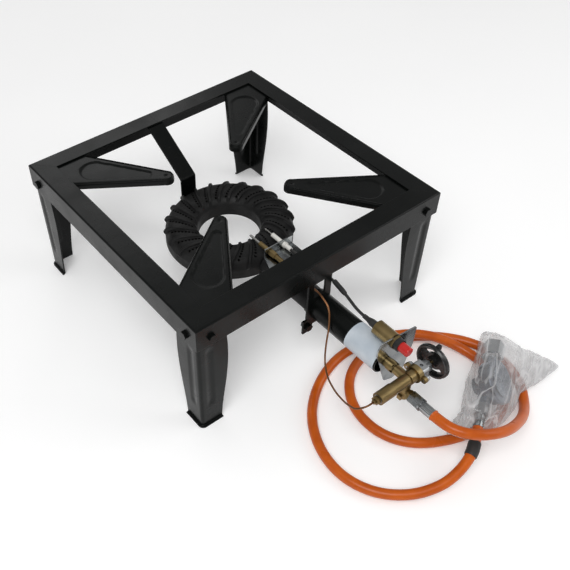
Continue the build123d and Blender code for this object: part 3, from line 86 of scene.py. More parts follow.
HOSE_LIP = [(0.1, -0.3), (0.1, 0.3), (0.5, 0.75), (1.4, 0.7), (2.4, 0.15),
            (2.8, -0.1)]           # (along, outward from the hose's skin)
SLEEVE_SPAN = (0.040, 0.021)       # sleeve ends, metres back along the hose from its end
SLEEVE_RADIUS, SLEEVE_BORE, SLEEVE_EDGE = 8.0, 7.15, 0.5

# Spark lead: two of its bends, and the rubber boot between them
LEAD_BENDS = ((18.0, -196.0, 136.0), (13.0, -226.0, 135.0))
LEAD_BORE = 2.1
BOOT_START, BOOT_LENGTH, BOOT_RADIUS = 2.0, 26.0, 3.4

# Legs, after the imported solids
FLANGE_UNDER = 187.5
LEG_CORNER = 197.5
LEG_SHEET = 2.0
LEG_EDGE = [(32.0, 0.0), (34.8, 30.0), (43.0, 95.0), (44.6, 124.0), (42.5, 155.0), (38.0, 187.5)]
LEG_ROUND = 4.5
LEG_ROWS = 72
FOOT_LIP = [(2.0, 3.0), (2.05, 1.3), (2.6, 0.35), (4.0, 0.0)]    # (height, outward)
FOOT_TOP = 6.0
GROOVE_PLACE, GROOVE_HALF = 16.0, 7.5
GROOVE_LOW, GROOVE_HIGH = 34.0, 150.0
GROOVE_DEPTH, GROOVE_FADE = 1.25, 12.0

# Pot supports, along and across the diagonal
SUPPORT_SHEET = 1.8
SUPPORT_TIP, SUPPORT_NOSE = 86.0, 8.6
SUPPORT_SLOPE = 0.185
SUPPORT_LIMIT = 263.04             # along the diagonal, to the frame's corner
SUPPORT_WALL = [(0.35, 0.15), (0.62, 0.6), (0.70, 1.4), (0.80, 2.0), (1.25, 2.35), (1.62, 2.8),
                (1.70, 3.5), (1.70, 6.0), (1.70, 8.6), (1.70, 9.5)]    # (outward, down)
WALL_OUT = SUPPORT_WALL[-1][0]
RECESS_START, RECESS_END = 106.0, 208.0
RECESS_MARGIN, RECESS_DEPTH = 6.5, 1.6
RECESS_WALL = (-0.4, 1.8)          # where the recess's slope starts and ends, inside its outline
TOP_DROP = 0.1                     # support's top under the rails' flange
DIMPLE_DEPTH, DIMPLE_SPREAD = 1.2, 3.4
NOSE_ROUNDING = 2.3                # exponent of the nose's outline
ROW_SPREAD = 1.1                   # exponent that sets the rows closer at the nose

# Burner cap; a pair holds where a form starts to come up or die out, and where it has
RIB_COUNT = 22
RIB_PHASE, RIB_SWEEP = 5.5, 19.5   # degrees
RIB_INNER, RIB_OUTER = 48.0, 94.5
PORT_LEAD = 5.4
PORT_RADII = (54.0, 84.0)
PORTS_PER_RIB = 8
PORT_EDGE, PORT_DEPTH, PORT_ZONE_Z = (1.2, 1.6), 8.0, 110
RIB_RISE, RIB_FLANK = 3.2, (1.5, 2.9)
TOE_RISE, TOE_FLANK, TOE_START = 1.0, (1.2, 3.2), (84, 90)       # the rib's thick outer end
BODY_RING, BODY_FOOT = (46.5, 53.0), (101.5, 106.0)
GRIT_HEIGHT, GRIT_SCALE = 0.18, 0.35
CAP_PROFILE = [(92.5, 101.0), (92.5, 103.0), (87.5, 113.5), (79.0, 118.0), (60.0, 118.0),
               (50.0, 113.5), (45.0, 107.0), (45.0, 101.0)]

# Strap behind the burner
STRAP_ROUTE = [(192.0, 186.0), (186.0, 186.0), (174.0, 186.0), (163.8, 179.7),
               (97.5, 139.1), (94.1, 137.0), (94.1, 133.0), (94.1, 91.0)]
STRAP_LEFT, STRAP_RIGHT, STRAP_THICK = -17.0, 9.0, 3.0
STRAP_EDGE, STRAP_ROWS = 0.7, 150

# Bag round the regulator: outlines along and across the gas flow
BAG_FLOW = (0.85, 0.527)
FLOW_RUN = math.hypot(*BAG_FLOW)
FLOW_X, FLOW_Y = BAG_FLOW[0] / FLOW_RUN, BAG_FLOW[1] / FLOW_RUN
BAG_START = (55.3, -428.4)
BAG_BOTTOM, BAG_MIDDLE, BAG_TOP, TENT_FOOT = 15.1, 53.0, 75.8, 48.0
BAG_FOOT = [(179.0, -18.0), (175.0, 4.0), (178.0, 25.0), (166.0, 44.0), (164.5, 65.0),
            (159.0, 86.0), (153.0, 90.0), (130.0, 76.0), (112.0, 63.0), (90.0, 46.0),
            (62.0, 42.0), (36.0, 32.0), (12.0, 16.0), (-7.0, -4.0), (-7.0, -34.0),
            (4.0, -33.0), (16.0, -20.5), (45.0, -22.7), (90.0, -22.5), (150.0, -18.0)]
BAG_SHOULDER = [(146.0, -14.0), (147.0, -3.0), (147.0, 6.0), (141.0, 12.0), (133.0, 18.0),
                (126.0, 21.0), (120.0, 22.5), (112.0, 23.0), (104.0, 23.0), (90.0, 23.0),
                (66.0, 23.0), (42.0, 22.0), (30.0, 18.0), (18.0, 8.0), (14.0, -8.0),
                (20.0, -12.0), (30.0, -15.0), (50.0, -20.0), (95.0, -20.0), (120.0, -17.0)]
TENT_BASE = [(38.5, 20.0), (38.5, -8.0), (52.0, -22.0), (93.0, -22.0), (106.5, -8.0),
             (106.5, 20.0)]
TENT_RIDGE = [(53.0, 4.0), (53.0, -6.0), (62.0, -12.5), (83.0, -12.5), (92.0, -6.0),
              (92.0, 4.0)]
BAG_VOXEL = 0.0022                 # metres
SMOOTH_SHARE, SMOOTH_ROUNDS = 0.5, 6
FILM_LIFT = 0.7
CREASES = [                        # scales along, across and up, shift, sharpness, height
    ((0.020, 0.065, 0.055), 0, 2.6, 2.0),
    ((0.055, 0.13, 0.12), 9, 2.2, 0.9),
]
CALM_FOOT = (-1, 7)                # heights over its floor, between which the crumples set in

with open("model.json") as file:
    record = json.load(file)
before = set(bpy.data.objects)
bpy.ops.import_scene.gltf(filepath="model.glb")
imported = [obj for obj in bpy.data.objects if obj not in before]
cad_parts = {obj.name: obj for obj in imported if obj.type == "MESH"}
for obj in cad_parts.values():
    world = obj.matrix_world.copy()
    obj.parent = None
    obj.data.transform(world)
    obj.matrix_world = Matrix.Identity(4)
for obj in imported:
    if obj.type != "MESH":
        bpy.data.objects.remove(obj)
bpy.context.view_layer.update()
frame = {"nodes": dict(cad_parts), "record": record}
nodes = frame["nodes"]


# ------------------------------------------------------------------ camera, light, floor
def add_camera():
    azimuth, elevation = math.radians(CAMERA_AZIMUTH), math.radians(CAMERA_ELEVATION)
    roll = math.radians(CAMERA_ROLL)
    back = Vector((math.sin(azimuth) * math.cos(elevation),
                   -math.cos(azimuth) * math.cos(elevation), math.sin(elevation)))
    level_right = Vector((0, 0, 1)).cross(back).normalized()
    level_up = back.cross(level_right)
    right = level_right * math.cos(roll) + level_up * math.sin(roll)
    up = back.cross(right)
    data = bpy.data.cameras.new("camera")
    data.sensor_width = SENSOR_MM
    data.lens = SENSOR_MM * FOCAL_PIXELS / PHOTO_PIXELS
    middle = PHOTO_PIXELS / 2
    data.shift_x = (middle - AXIS_PIXEL[0]) / PHOTO_PIXELS
    data.shift_y = (AXIS_PIXEL[1] - middle) / PHOTO_PIXELS
    data.clip_start, data.clip_end = 0.01, 50
    camera = bpy.data.objects.new("camera", data)
    turn = Matrix((right, up, back)).transposed().to_4x4()
    camera.matrix_world = Matrix.Translation(Vector(CAMERA_AIM) + back * CAMERA_DISTANCE) @ turn
    bpy.context.scene.collection.objects.link(camera)
    bpy.context.scene.camera = camera


def add_lamp(name, place, aim, size, watts):
    data = bpy.data.lights.new(name, "AREA")
    data.shape = "RECTANGLE"
    data.size, data.size_y = size
    data.energy = watts
    lamp = bpy.data.objects.new(name, data)
    lamp.location = place
    lamp.rotation_mode = "QUATERNION"
    lamp.rotation_quaternion = (Vector(aim) - Vector(place)).to_track_quat("-Z", "Y")
    bpy.context.scene.collection.objects.link(lamp)


def add_studio():
    world = bpy.data.worlds.new("studio")
    world.use_nodes = True
    sky = world.node_tree.nodes["Background"]
    sky.inputs["Color"].default_value = (1.0, 1.0, 1.0, 1)
    sky.inputs["Strength"].default_value = SKY_STRENGTH
    bpy.context.scene.world = world
    for lamp in LAMPS:
        add_lamp(*lamp)

    mesh = bpy.data.meshes.new("floor")
    reach = FLOOR_REACH
    corners = [(-reach, -reach, 0), (reach, -reach, 0), (reach, reach, 0), (-reach, reach, 0)]
    mesh.from_pydata(corners, [], [(0, 1, 2, 3)])
    floor = bpy.data.objects.new("floor", mesh)
    bpy.context.scene.collection.objects.link(floor)
    mesh.materials.append(pale_floor())


# ------------------------------------------------------------------ materials
class Shader:
    """A small builder of node materials."""

    def __init__(self, name, **settings):
        self.material = bpy.data.materials.new(name)
        self.material.use_nodes = True
        self.tree = self.material.node_tree
        self.bsdf = self.tree.nodes["Principled BSDF"]
        self.place = self.add("ShaderNodeTexCoord").outputs["Object"]
        self.normal = None
        for socket, value in settings.items():
            self.bsdf.inputs[socket.replace("_", " ")].default_value = value

    def add(self, kind, **values):
        node = self.tree.nodes.new(kind)
        for key, value in values.items():
            if key in node.inputs:
                node.inputs[key].default_value = value
            else:
                setattr(node, key, value)
        return node

    def link(self, a, b):
        self.tree.links.new(a, b)

    def noise(self, scale, detail=3.0, roughness=0.5, stretch=None):
        node = self.add("ShaderNodeTexNoise", Scale=scale, Detail=detail, Roughness=roughness)
        source = self.place
        if stretch:
            mapping = self.add("ShaderNodeMapping", Scale=stretch)
            self.link(source, mapping.inputs["Vector"])
            source = mapping.outputs["Vector"]
        self.link(source, node.inputs["Vector"])
        return node.outputs["Fac"]

    def soften_edges(self, radius):
        """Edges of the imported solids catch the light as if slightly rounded."""
        node = self.add("ShaderNodeBevel", Radius=radius, samples=4)
        self.normal = node.outputs["Normal"]

    def shade_crevices(self, colour, reach, dark):
        """The colour with painted shade, darkened where faces nearer than reach close in on it."""
        node = self.add("ShaderNodeAmbientOcclusion", Distance=reach, samples=8)
        open_share = self.ramp(node.outputs["AO"], (0.25, 0.0), (0.9, 1.0))
        return self.mix(open_share, self.mix(1.0, colour, (dark,) * 3, "MULTIPLY"), colour)

    def ramp(self, factor, *stops):
        node = self.add("ShaderNodeValToRGB")
        elements = node.color_ramp.elements
        while len(elements) < len(stops):
            elements.new(0.5)
        for element, (position, colour) in zip(elements, stops):
            element.position = position
            value = (colour,) * 3 if isinstance(colour, (int, float)) else colour
            element.color = (*value, 1)
        self.link(factor, node.inputs["Fac"])
        return node.outputs["Color"]

    def mix(self, factor, a, b, blend="MIX"):
        node = self.add("ShaderNodeMix", data_type="RGBA", blend_type=blend)
        sockets = {"Factor": factor, "A": a, "B": b}
        for name, value in sockets.items():
            socket = [s for s in node.inputs if s.name == name and s.enabled][0]
            if isinstance(value, bpy.types.NodeSocket):
                self.link(value, socket)
            elif isinstance(value, tuple):
                socket.default_value = (*value, 1)
            else:
                socket.default_value = value
        return [s for s in node.outputs if s.enabled][0]

    def bump(self, *layers):
        """layers are (height, strength, distance)."""
        normal = self.normal
        for height, strength, distance in layers:
            node = self.add("ShaderNodeBump", Strength=strength, Distance=distance)
            self.link(height, node.inputs["Height"])
            if normal:
                self.link(normal, node.inputs["Normal"])
            normal = node.outputs["Normal"]
        self.link(normal, self.bsdf.inputs["Normal"])

    def colour(self, socket):
        self.link(socket, self.bsdf.inputs["Base Color"])

    def rough(self, socket):
        self.link(socket, self.bsdf.inputs["Roughness"])


def pale_floor():
    s = Shader("pale_floor", Roughness=0.9)
    s.colour(s.ramp(s.noise(3.0), (0.3, 0.93), (0.7, 0.95)))
    rays = s.add("ShaderNodeLightPath")
    seen = s.add("ShaderNodeMath", operation="MAXIMUM")
    s.link(rays.outputs["Is Camera Ray"], seen.inputs[0])
    s.link(rays.outputs["Is Glossy Ray"], seen.inputs[1])
    level = s.add("ShaderNodeMath", operation="MULTIPLY")
    s.link(seen.outputs[0], level.inputs[0])
    level.inputs[1].default_value = FLOOR_LIFT
    s.bsdf.inputs["Emission Color"].default_value = (1, 1, 1, 1)
    s.link(level.outputs[0], s.bsdf.inputs["Emission Strength"])
    return s.material


def black_paint():
    s = Shader("black_paint", Specular_IOR_Level=0.16)
    dust = s.ramp(s.noise(9.0, 5.0, 0.65), (0.42, 0.0), (0.75, 1.0))
    scuffs = s.ramp(s.noise(95.0, 6.0, 0.7, (1.0, 1.0, 0.35)), (0.66, 0.0), (0.76, 1.0))
    base = s.mix(dust, (0.0020, 0.0026, 0.0024), (0.0052, 0.0060, 0.0056))
    s.colour(s.mix(scuffs, base, (0.012, 0.0125, 0.0118)))
    s.rough(s.ramp(s.noise(16.0, 4.0), (0.3, 0.20), (0.72, 0.36)))
    s.soften_edges(0.0007)
    s.bump((s.noise(420.0, 2.0), 0.10, 0.0006), (s.noise(26.0, 2.0), 0.20, 0.0016))
    return s.material


def cast_iron():
    s = Shader("cast_iron", Specular_IOR_Level=0.20)
    crust = s.ramp(s.noise(60.0, 5.0), (0.3, 0.0060), (0.75, 0.0160))
    # painted shade: the crust is darkened in crevices and between ribs
    s.colour(s.shade_crevices(crust, 0.0045, 0.08))
    s.rough(s.ramp(s.noise(45.0), (0.3, 0.42), (0.7, 0.66)))
    s.bump((s.noise(900.0, 3.0), 0.5, 0.0004), (s.noise(160.0, 4.0), 0.45, 0.0010))
    return s.material


def metal(name, low, high, rough):
    s = Shader(name, Metallic=1.0)
    face = s.mix(s.ramp(s.noise(28.0, 4.0), (0.3, 0.0), (0.7, 1.0)), low, high)
    # painted shade: the metal is darkened in crevices, flutes and recesses
    s.colour(s.shade_crevices(face, 0.005, 0.16))
    s.rough(s.ramp(s.noise(40.0, 4.0), (0.3, rough[0]), (0.7, rough[1])))
    s.soften_edges(0.0005)
    s.bump((s.noise(260.0, 3.0), 0.25, 0.0004))
    return s.material


def plain(name, low, high, rough, bump=(300.0, 0.15, 0.0003), **settings):
    s = Shader(name, **settings)
    s.colour(s.mix(s.ramp(s.noise(35.0, 4.0), (0.35, 0.0), (0.7, 1.0)), low, high))
    s.rough(s.ramp(s.noise(30.0), (0.3, rough[0]), (0.7, rough[1])))
    s.bump((s.noise(bump[0], 3.0), bump[1], bump[2]))
    return s.material


def film():
    """Crumpled polythene: milky streaks along the bag, with white lines where it is folded."""
    s = Shader("clear_film", Specular_IOR_Level=0.55, Roughness=0.14)
    turn = s.add("ShaderNodeMapping")
    turn.inputs["Rotation"].default_value = (0, 0, -math.atan2(FLOW_Y, FLOW_X))
    s.link(s.place, turn.inputs["Vector"])
    s.place = turn.outputs["Vector"]
    streaks = s.ramp(s.noise(34.0, 2.0, 0.5, (0.10, 1.5, 0.9)),
                     (0.44, 0.0), (0.50, 0.55), (0.56, 0.0))
    folds = s.ramp(s.noise(15.0, 1.0, 0.5, (0.22, 1.4, 0.8)),
                   (0.485, 0.0), (0.50, 0.8), (0.515, 0.0))
    lines = s.mix(1.0, streaks, folds, "LIGHTEN")
    cloud = s.ramp(s.noise(18.0, 5.0, 0.6, (0.35, 1.3, 1.0)), (0.35, 0.0), (0.70, 1.0))
    s.colour(s.mix(lines, (0.46, 0.455, 0.46), (0.90, 0.90, 0.91)))
    veil = s.mix(cloud, (0.22, 0.22, 0.22), (0.48, 0.48, 0.48))
    s.link(s.mix(lines, veil, (0.66, 0.66, 0.66)), s.bsdf.inputs["Alpha"])
    s.bump((lines, 0.5, 0.0012), (s.noise(48.0, 4.0, 0.6, (0.35, 1.3, 1.0)), 0.6, 0.003))
    return s.material


SLOT_MATERIALS = {
    "black_paint": black_paint,
    "cast_iron": cast_iron,
    "zinc_plate": lambda: metal("zinc_plate", (0.17, 0.18, 0.19), (0.47, 0.49, 0.49), (0.13, 0.26)),
    "steel": lambda: metal("steel", (0.45, 0.44, 0.42), (0.6, 0.59, 0.57), (0.22, 0.36)),
    "brass": lambda: metal("brass", (0.19, 0.135, 0.058), (0.34, 0.25, 0.115), (0.26, 0.46)),
    "copper": lambda: metal("copper", (0.16, 0.075, 0.035), (0.28, 0.13, 0.06), (0.35, 0.55)),
    "zinc_alloy": lambda: metal("zinc_alloy", (0.36, 0.38, 0.39), (0.55, 0.57, 0.58), (0.24, 0.4)),
    "orange_hose": lambda: plain("orange_hose", (0.47, 0.080, 0.004), (0.60, 0.118, 0.009),
                                 (0.26, 0.40), (90.0, 0.1, 0.0006), Specular_IOR_Level=0.28),
    "black_rubber": lambda: plain("black_rubber", (0.012, 0.012, 0.012), (0.025, 0.024, 0.023),
                                  (0.45, 0.65)),
    "black_plastic": lambda: plain("black_plastic", (0.008, 0.008, 0.008), (0.018, 0.017, 0.017),
                                   (0.18, 0.34)),
    "red_plastic": lambda: plain("red_plastic", (0.40, 0.010, 0.009), (0.50, 0.016, 0.013),
                                 (0.22, 0.34)),
    "ceramic": lambda: plain("ceramic", (0.72, 0.71, 0.66), (0.82, 0.81, 0.77), (0.15, 0.3)),
    "sticker": lambda: plain("sticker", (0.46, 0.52, 0.58), (0.60, 0.65, 0.70), (0.26, 0.42),
                               (120.0, 0.3, 0.0006)),
    "clear_film": film,
}


def regulator_lacquer():
    return metal("regulator_lacquer", (0.10, 0.115, 0.14), (0.20, 0.23, 0.275), (0.22, 0.36))


def dress_nodes():
    """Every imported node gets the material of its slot; the regulator's castings are lacquered."""
    made = {"lacquer": regulator_lacquer()}
    for part in frame["record"]["subparts"]:
        slot = part["material_slot"]
        if slot not in made:
            made[slot] = SLOT_MATERIALS[slot]()
        lacquered = part["node"] in ("regulator_body", "regulator_cover")
        mesh = nodes[part["node"]].data
        mesh.materials.clear()
        mesh.materials.append(made["lacquer" if lacquered else slot])
    return made


# ------------------------------------------------------------------ mesh helpers
def add_piece(name, verts, faces, slot, replaced, sheet=0.0, outward=None, sharp=CRISP_ANGLE):
    """A mesh in millimetres becomes a piece on the stand; a sheet is thickened inward."""
    mesh = bpy.data.meshes.new(name)
    mesh.from_pydata([[v * MM for v in p] for p in verts], [], faces)
    mesh.validate()
    work = bmesh.new()
    work.from_mesh(mesh)
    if outward is None:
        bmesh.ops.recalc_face_normals(work, faces=work.faces)
    else:
        work.normal_update()
        facing = sum(f.normal.dot(Vector(outward)) * f.calc_area() for f in work.faces)
        if facing < 0:
            bmesh.ops.reverse_faces(work, faces=work.faces)
    work.to_mesh(mesh)
    work.free()
    piece = bpy.data.objects.new(name, mesh)
    bpy.context.scene.collection.objects.link(piece)
    if sheet:
        shell = piece.modifiers.new("sheet", "SOLIDIFY")
        shell.thickness, shell.offset = sheet * MM, -1
        apply_modifiers(piece)
    return finish_piece(piece, slot, replaced, sharp)


def apply_modifiers(piece):
    bpy.context.view_layer.update()
    graph = bpy.context.evaluated_depsgraph_get()
    mesh = bpy.data.meshes.new_from_object(piece.evaluated_get(graph))
    piece.modifiers.clear()
    piece.data = mesh


def finish_piece(piece, slot, replaced, sharp):
    piece.data.shade_smooth()
    piece.data.set_sharp_from_angle(angle=math.radians(sharp))
    piece.data.materials.clear()
    piece.data.materials.append(made[slot])
    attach(piece, "stand")
    if replaced:
        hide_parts(*replaced)
    return piece


def add_turned(name, start, ahead, profile, slot, around=36):
    """A closed ring: (distance along, radius) points turned round an axis."""
    side = ahead.cross(Vector((0, 0, 1))).normalized()
    up = side.cross(ahead)
    points = []
    for along, radius in profile:
        for j in range(around):
            turn = 2 * math.pi * j / around
            spoke = side * math.cos(turn) + up * math.sin(turn)
            points.append(tuple(start + ahead * along + spoke * radius))
    return add_piece(name, points, ring_faces(len(profile), around), slot, [])


def grid_faces(rows, columns, closed=False):
    faces = []
    for i in range(rows - 1):
        for j in range(columns if closed else columns - 1):
            k = (j + 1) % columns
            faces.append((i * columns + j, i * columns + k,
                          (i + 1) * columns + k, (i + 1) * columns + j))
    return faces


def ring_faces(rows, around):
    """Faces of a closed ring, whose last row joins its first."""
    last = (rows - 1) * around
    band = [(last + j, last + (j + 1) % around, (j + 1) % around, j) for j in range(around)]
    return grid_faces(rows, around, closed=True) + band


def smooth_step(low, high, value):
    """Rises from 0 at low to 1 at high, or falls where high is the lower one; also for arrays."""
    share = np.clip((value - low) / (high - low), 0.0, 1.0)
    return share * share * (3 - 2 * share)


def turned(point, quarter):
    """A point turned about Z by quarter turns."""
    x, y, z = point
    for _ in range(quarter):
        x, y = -y, x
    return x, y, z


def rounded_line(points, cut, rounds):
    """Corner cutting, which keeps both ends."""
    for _ in range(rounds):
        line = [points[0]]
        for a, b in zip(points, points[1:]):
            line.append(tuple(p + (q - p) * cut for p, q in zip(a, b)))
            line.append(tuple(q + (p - q) * cut for p, q in zip(a, b)))
        points = line + [points[-1]]
    return points


def resample(points, count):
    line = np.array(points, float)
    along = np.concatenate([[0], np.cumsum(np.linalg.norm(np.diff(line, axis=0), axis=1))])
    spots = np.linspace(0, along[-1], count)
    return np.stack([np.interp(spots, along, line[:, k]) for k in range(line.shape[1])], 1)


# ------------------------------------------------------------------ pressed stand
CORNERS = ("front_left", "front_right", "back_right", "back_left")


def leg_row(z, width, flare):
    """Outer skin of a leg at one height, from one free edge round the corner to the other."""
    face, bend = 30, 6             # steps over one face and round the corner
    ends = smooth_step(GROOVE_LOW, GROOVE_LOW + GROOVE_FADE, z)
    ends *= smooth_step(GROOVE_HIGH, GROOVE_HIGH - GROOVE_FADE, z)
    one = []
    for k in range(face + 1):
        x = width + (LEG_ROUND - width) * k / face
        across = min(abs(x - GROOVE_PLACE) / GROOVE_HALF, 1.0)
        depth = GROOVE_DEPTH * ends * (1 - across * across) ** 2
        one.append((x, depth - flare))
    corner = []
    for k in range(1, bend):
        angle = math.pi / 2 * k / bend
        reach = LEG_ROUND + flare
        corner.append((LEG_ROUND - reach * math.sin(angle), LEG_ROUND - reach * math.cos(angle)))
    return one + corner + [(y, x) for x, y in reversed(one)]


def add_legs():
    fit = np.polyfit([z for _, z in LEG_EDGE], [w for w, _ in LEG_EDGE], 4)
    rows = FOOT_LIP + [(z, 0.0) for z in np.linspace(FOOT_TOP, FLANGE_UNDER, LEG_ROWS)]
    points = []
    for z, flare in rows:
        points += [(x - LEG_CORNER, y - LEG_CORNER, z)
                   for x, y in leg_row(z, float(np.polyval(fit, z)), flare)]
    columns = len(points) // len(rows)
    for quarter, corner in enumerate(CORNERS):
        out = turned((-1, -1, 0), quarter)
        add_piece("leg_pressed_" + corner, [turned(p, quarter) for p in points],
                  grid_faces(len(rows), columns), "black_paint", ["leg_" + corner],
                  sheet=LEG_SHEET, outward=out)


def support_half(u):
    return SUPPORT_NOSE + SUPPORT_SLOPE * max(0.0, u - SUPPORT_TIP)


def inside_recess(u, v):
    """How far a point lies inside the recess's outline: a wedge with round ends."""
    near = (support_half(RECESS_START) - RECESS_MARGIN) / (1 - SUPPORT_SLOPE)
    wide = (support_half(RECESS_END) - RECESS_MARGIN) / (1 + SUPPORT_SLOPE)
    if u < RECESS_START + near:
        return near - math.hypot(u - RECESS_START - near, v)
    if u > RECESS_END - wide:
        return wide - math.hypot(u - RECESS_END + wide, v)
    return support_half(u) - RECESS_MARGIN - abs(v)


def support_top(u, v):
    """Height of the pressed top: the recess and the nose's dimple."""
    inside = inside_recess(u, v)
    dimple = DIMPLE_DEPTH * math.exp(-((u - SUPPORT_TIP) ** 2 + v * v) / DIMPLE_SPREAD)
    return FLANGE_UNDER - TOP_DROP - RECESS_DEPTH * smooth_step(*RECESS_WALL, inside) - dimple


def support_plan(along, across):
    """Rows of plan points over the support's top, and the walk round its free edge."""
    rows = []
    slack = SUPPORT_NOSE - SUPPORT_SLOPE * SUPPORT_TIP
    for i in range(along + 1):
        share = (i / along) ** ROW_SPREAD
        row = []
        for j in range(across):
            t = math.sin(math.pi / 2 * (-1 + 2 * j / (across - 1)))
            bulge = (1 - abs(t) ** NOSE_ROUNDING) ** (1 / NOSE_ROUNDING)
            nose = SUPPORT_TIP - (SUPPORT_NOSE - WALL_OUT) * bulge
            end = (SUPPORT_LIMIT - abs(t) * slack) / (1 + SUPPORT_SLOPE * abs(t))
            u = nose + (end - nose) * share
            row.append((u, t * (support_half(u) - WALL_OUT)))
        rows.append(row)
    edge = [i * across for i in range(along, 0, -1)] + list(range(across))
    edge += [i * across + across - 1 for i in range(1, along + 1)]
    return rows, edge


def add_supports():
    along, across = ((130, 41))
    rows, edge = support_plan(along, across)
    plan = [p for row in rows for p in row]
    points = [(u, v, support_top(u, v)) for u, v in plan]
    faces = grid_faces(along + 1, across)
    ring = edge
    for out, down in SUPPORT_WALL:
        level = []
        for k, at in enumerate(edge):
            back = plan[edge[max(k - 1, 0)]]
            ahead = plan[edge[min(k + 1, len(edge) - 1)]]
            run = math.hypot(ahead[0] - back[0], ahead[1] - back[1])
            level.append(len(points))
            points.append((plan[at][0] + (back[1] - ahead[1]) / run * out,
                           plan[at][1] + (ahead[0] - back[0]) / run * out,
                           FLANGE_UNDER - down))
        faces += [(ring[k], ring[k + 1], level[k + 1], level[k]) for k in range(len(edge) - 1)]
        ring = level
    for quarter, corner in enumerate(CORNERS):
        angle = math.radians(225 + 90 * quarter)
        c, s = math.cos(angle), math.sin(angle)
        placed = [(u * c - v * s, u * s + v * c, z) for u, v, z in points]
        add_piece("support_pressed_" + corner, placed, faces,
                  "black_paint", ["pot_support_" + corner], sheet=SUPPORT_SHEET,
                  outward=(0, 0, 1))


def add_strap():
    line = resample(rounded_line(STRAP_ROUTE, 0.25, 4), STRAP_ROWS)
    step = np.gradient(line, axis=0)
    step /= np.linalg.norm(step, axis=1)[:, None]
    normal = np.stack([-step[:, 1], step[:, 0]], 1)
    half, edge = STRAP_THICK / 2, STRAP_EDGE
    section = [(STRAP_LEFT + edge, half), (STRAP_RIGHT - edge, half), (STRAP_RIGHT, half - edge),
               (STRAP_RIGHT, edge - half), (STRAP_RIGHT - edge, -half),
               (STRAP_LEFT + edge, -half), (STRAP_LEFT, edge - half), (STRAP_LEFT, half - edge)]
    points = []
    for (y, z), (ny, nz) in zip(line, normal):
        points += [(x, y + ny * h, z + nz * h) for x, h in section]
    columns = len(section)
    faces = grid_faces(len(line), columns, closed=True)
    faces += [tuple(range(columns)), tuple(range(len(points) - columns, len(points)))]
    add_piece("strap_bent", points, faces, "black_paint", ["back_strap"])


def add_lead_boot():
    """The thick rubber boot on the spark lead, in front of the bracket."""
    first, second = (Vector(bend) for bend in LEAD_BENDS)
    ahead = (second - first).normalized()
    length, r = BOOT_LENGTH, BOOT_RADIUS
    profile = [(0.0, LEAD_BORE), (0.0, r - 0.6), (0.7, r - 0.1), (2.0, r), (length - 7.0, r),
               (length - 1.0, r - 0.5), (length, r - 1.0), (length, LEAD_BORE)]
    add_turned("spark_lead_boot", first + ahead * BOOT_START, ahead, profile, "black_rubber")


# ------------------------------------------------------------------ springs
def add_springs():
    """Each coil spring that a joint lists is copied into a steel piece in its place."""
    for joint in frame["record"]["behaviour"]["joints"]:
        for entry in joint.get("deforming_nodes", ()):
            spring, way = entry["node"], entry["mode"][-1]
            k = "xyz".index(way)
            low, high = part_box(spring)
            anchor = [(a + b) / 2 for a, b in zip(low, high)]
            anchor[k] = entry[f"fixed_end_{way}_m"]
            mesh = nodes[spring].data.copy()
            mesh.transform(nodes[spring].matrix_world)
            coil = bpy.data.objects.new(spring + "_coil", mesh)
            bpy.context.scene.collection.objects.link(coil)
            finish_piece(coil, "steel", [spring], CRISP_ANGLE)
            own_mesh(coil)


# ------------------------------------------------------------------ cast burner cap
def add_burner_cap():
    rows, columns = ((150, RIB_COUNT * 64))
    line = resample(rounded_line(CAP_PROFILE, 0.22, 3), rows)
    step = np.gradient(line, axis=0)
    step /= np.linalg.norm(step, axis=1)[:, None]
    normal = np.stack([step[:, 1], -step[:, 0]], 1)
    if normal[rows // 2, 1] < 0:
        normal = -normal
    angle = np.linspace(0, 360, columns, endpoint=False)[None, :]
    radius = line[:, :1]
    spacing = 360 / RIB_COUNT
    sweep = RIB_SWEEP * (radius - RIB_INNER) / (RIB_OUTER - RIB_INNER)
    phase = (angle - RIB_PHASE + sweep + spacing / 2) % spacing - spacing / 2
    off = np.abs(np.radians(phase) * radius)
    body = smooth_step(*BODY_RING, radius) * smooth_step(*BODY_FOOT, line[:, 1:])
    rise = RIB_RISE * body * (1 - smooth_step(*RIB_FLANK, off))
    rise += TOE_RISE * body * (1 - smooth_step(*TOE_FLANK, off)) * smooth_step(*TOE_START, radius)
    ports = np.linspace(*PORT_RADII, PORTS_PER_RIB)
    nearest = ports[np.argmin(np.abs(radius - ports[None, :]), axis=1)][:, None]
    lead = (angle - RIB_PHASE - PORT_LEAD + RIB_SWEEP * (nearest - RIB_INNER)
            / (RIB_OUTER - RIB_INNER) + spacing / 2) % spacing - spacing / 2
    miss = np.hypot(np.radians(lead) * nearest, radius - nearest)
    hole = PORT_DEPTH * (1 - smooth_step(*PORT_EDGE, miss)) * (line[:, 1:] > PORT_ZONE_Z)
    points = []
    for i in range(rows):
        for j in range(columns):
            up = rise[i, j]
            r = radius[i, 0] + normal[i, 0] * up
            z = line[i, 1] + normal[i, 1] * up - hole[i, j]
            turn = math.radians(angle[0, j])
            x, y = r * math.cos(turn), r * math.sin(turn)
            grit = GRIT_HEIGHT * noise.noise(Vector((x, y, z)) * GRIT_SCALE)
            points.append((x, y, z + grit))
    add_piece("burner_cap_cast", points, ring_faces(rows, columns), "cast_iron", ["burner_cap"],
              sharp=SOFT_ANGLE)


# ------------------------------------------------------------------ bag round the regulator
def bag_ring(points, z):
    return [(BAG_START[0] + u * FLOW_X + v * FLOW_Y, BAG_START[1] + u * FLOW_Y - v * FLOW_X, z)
            for u, v in points]


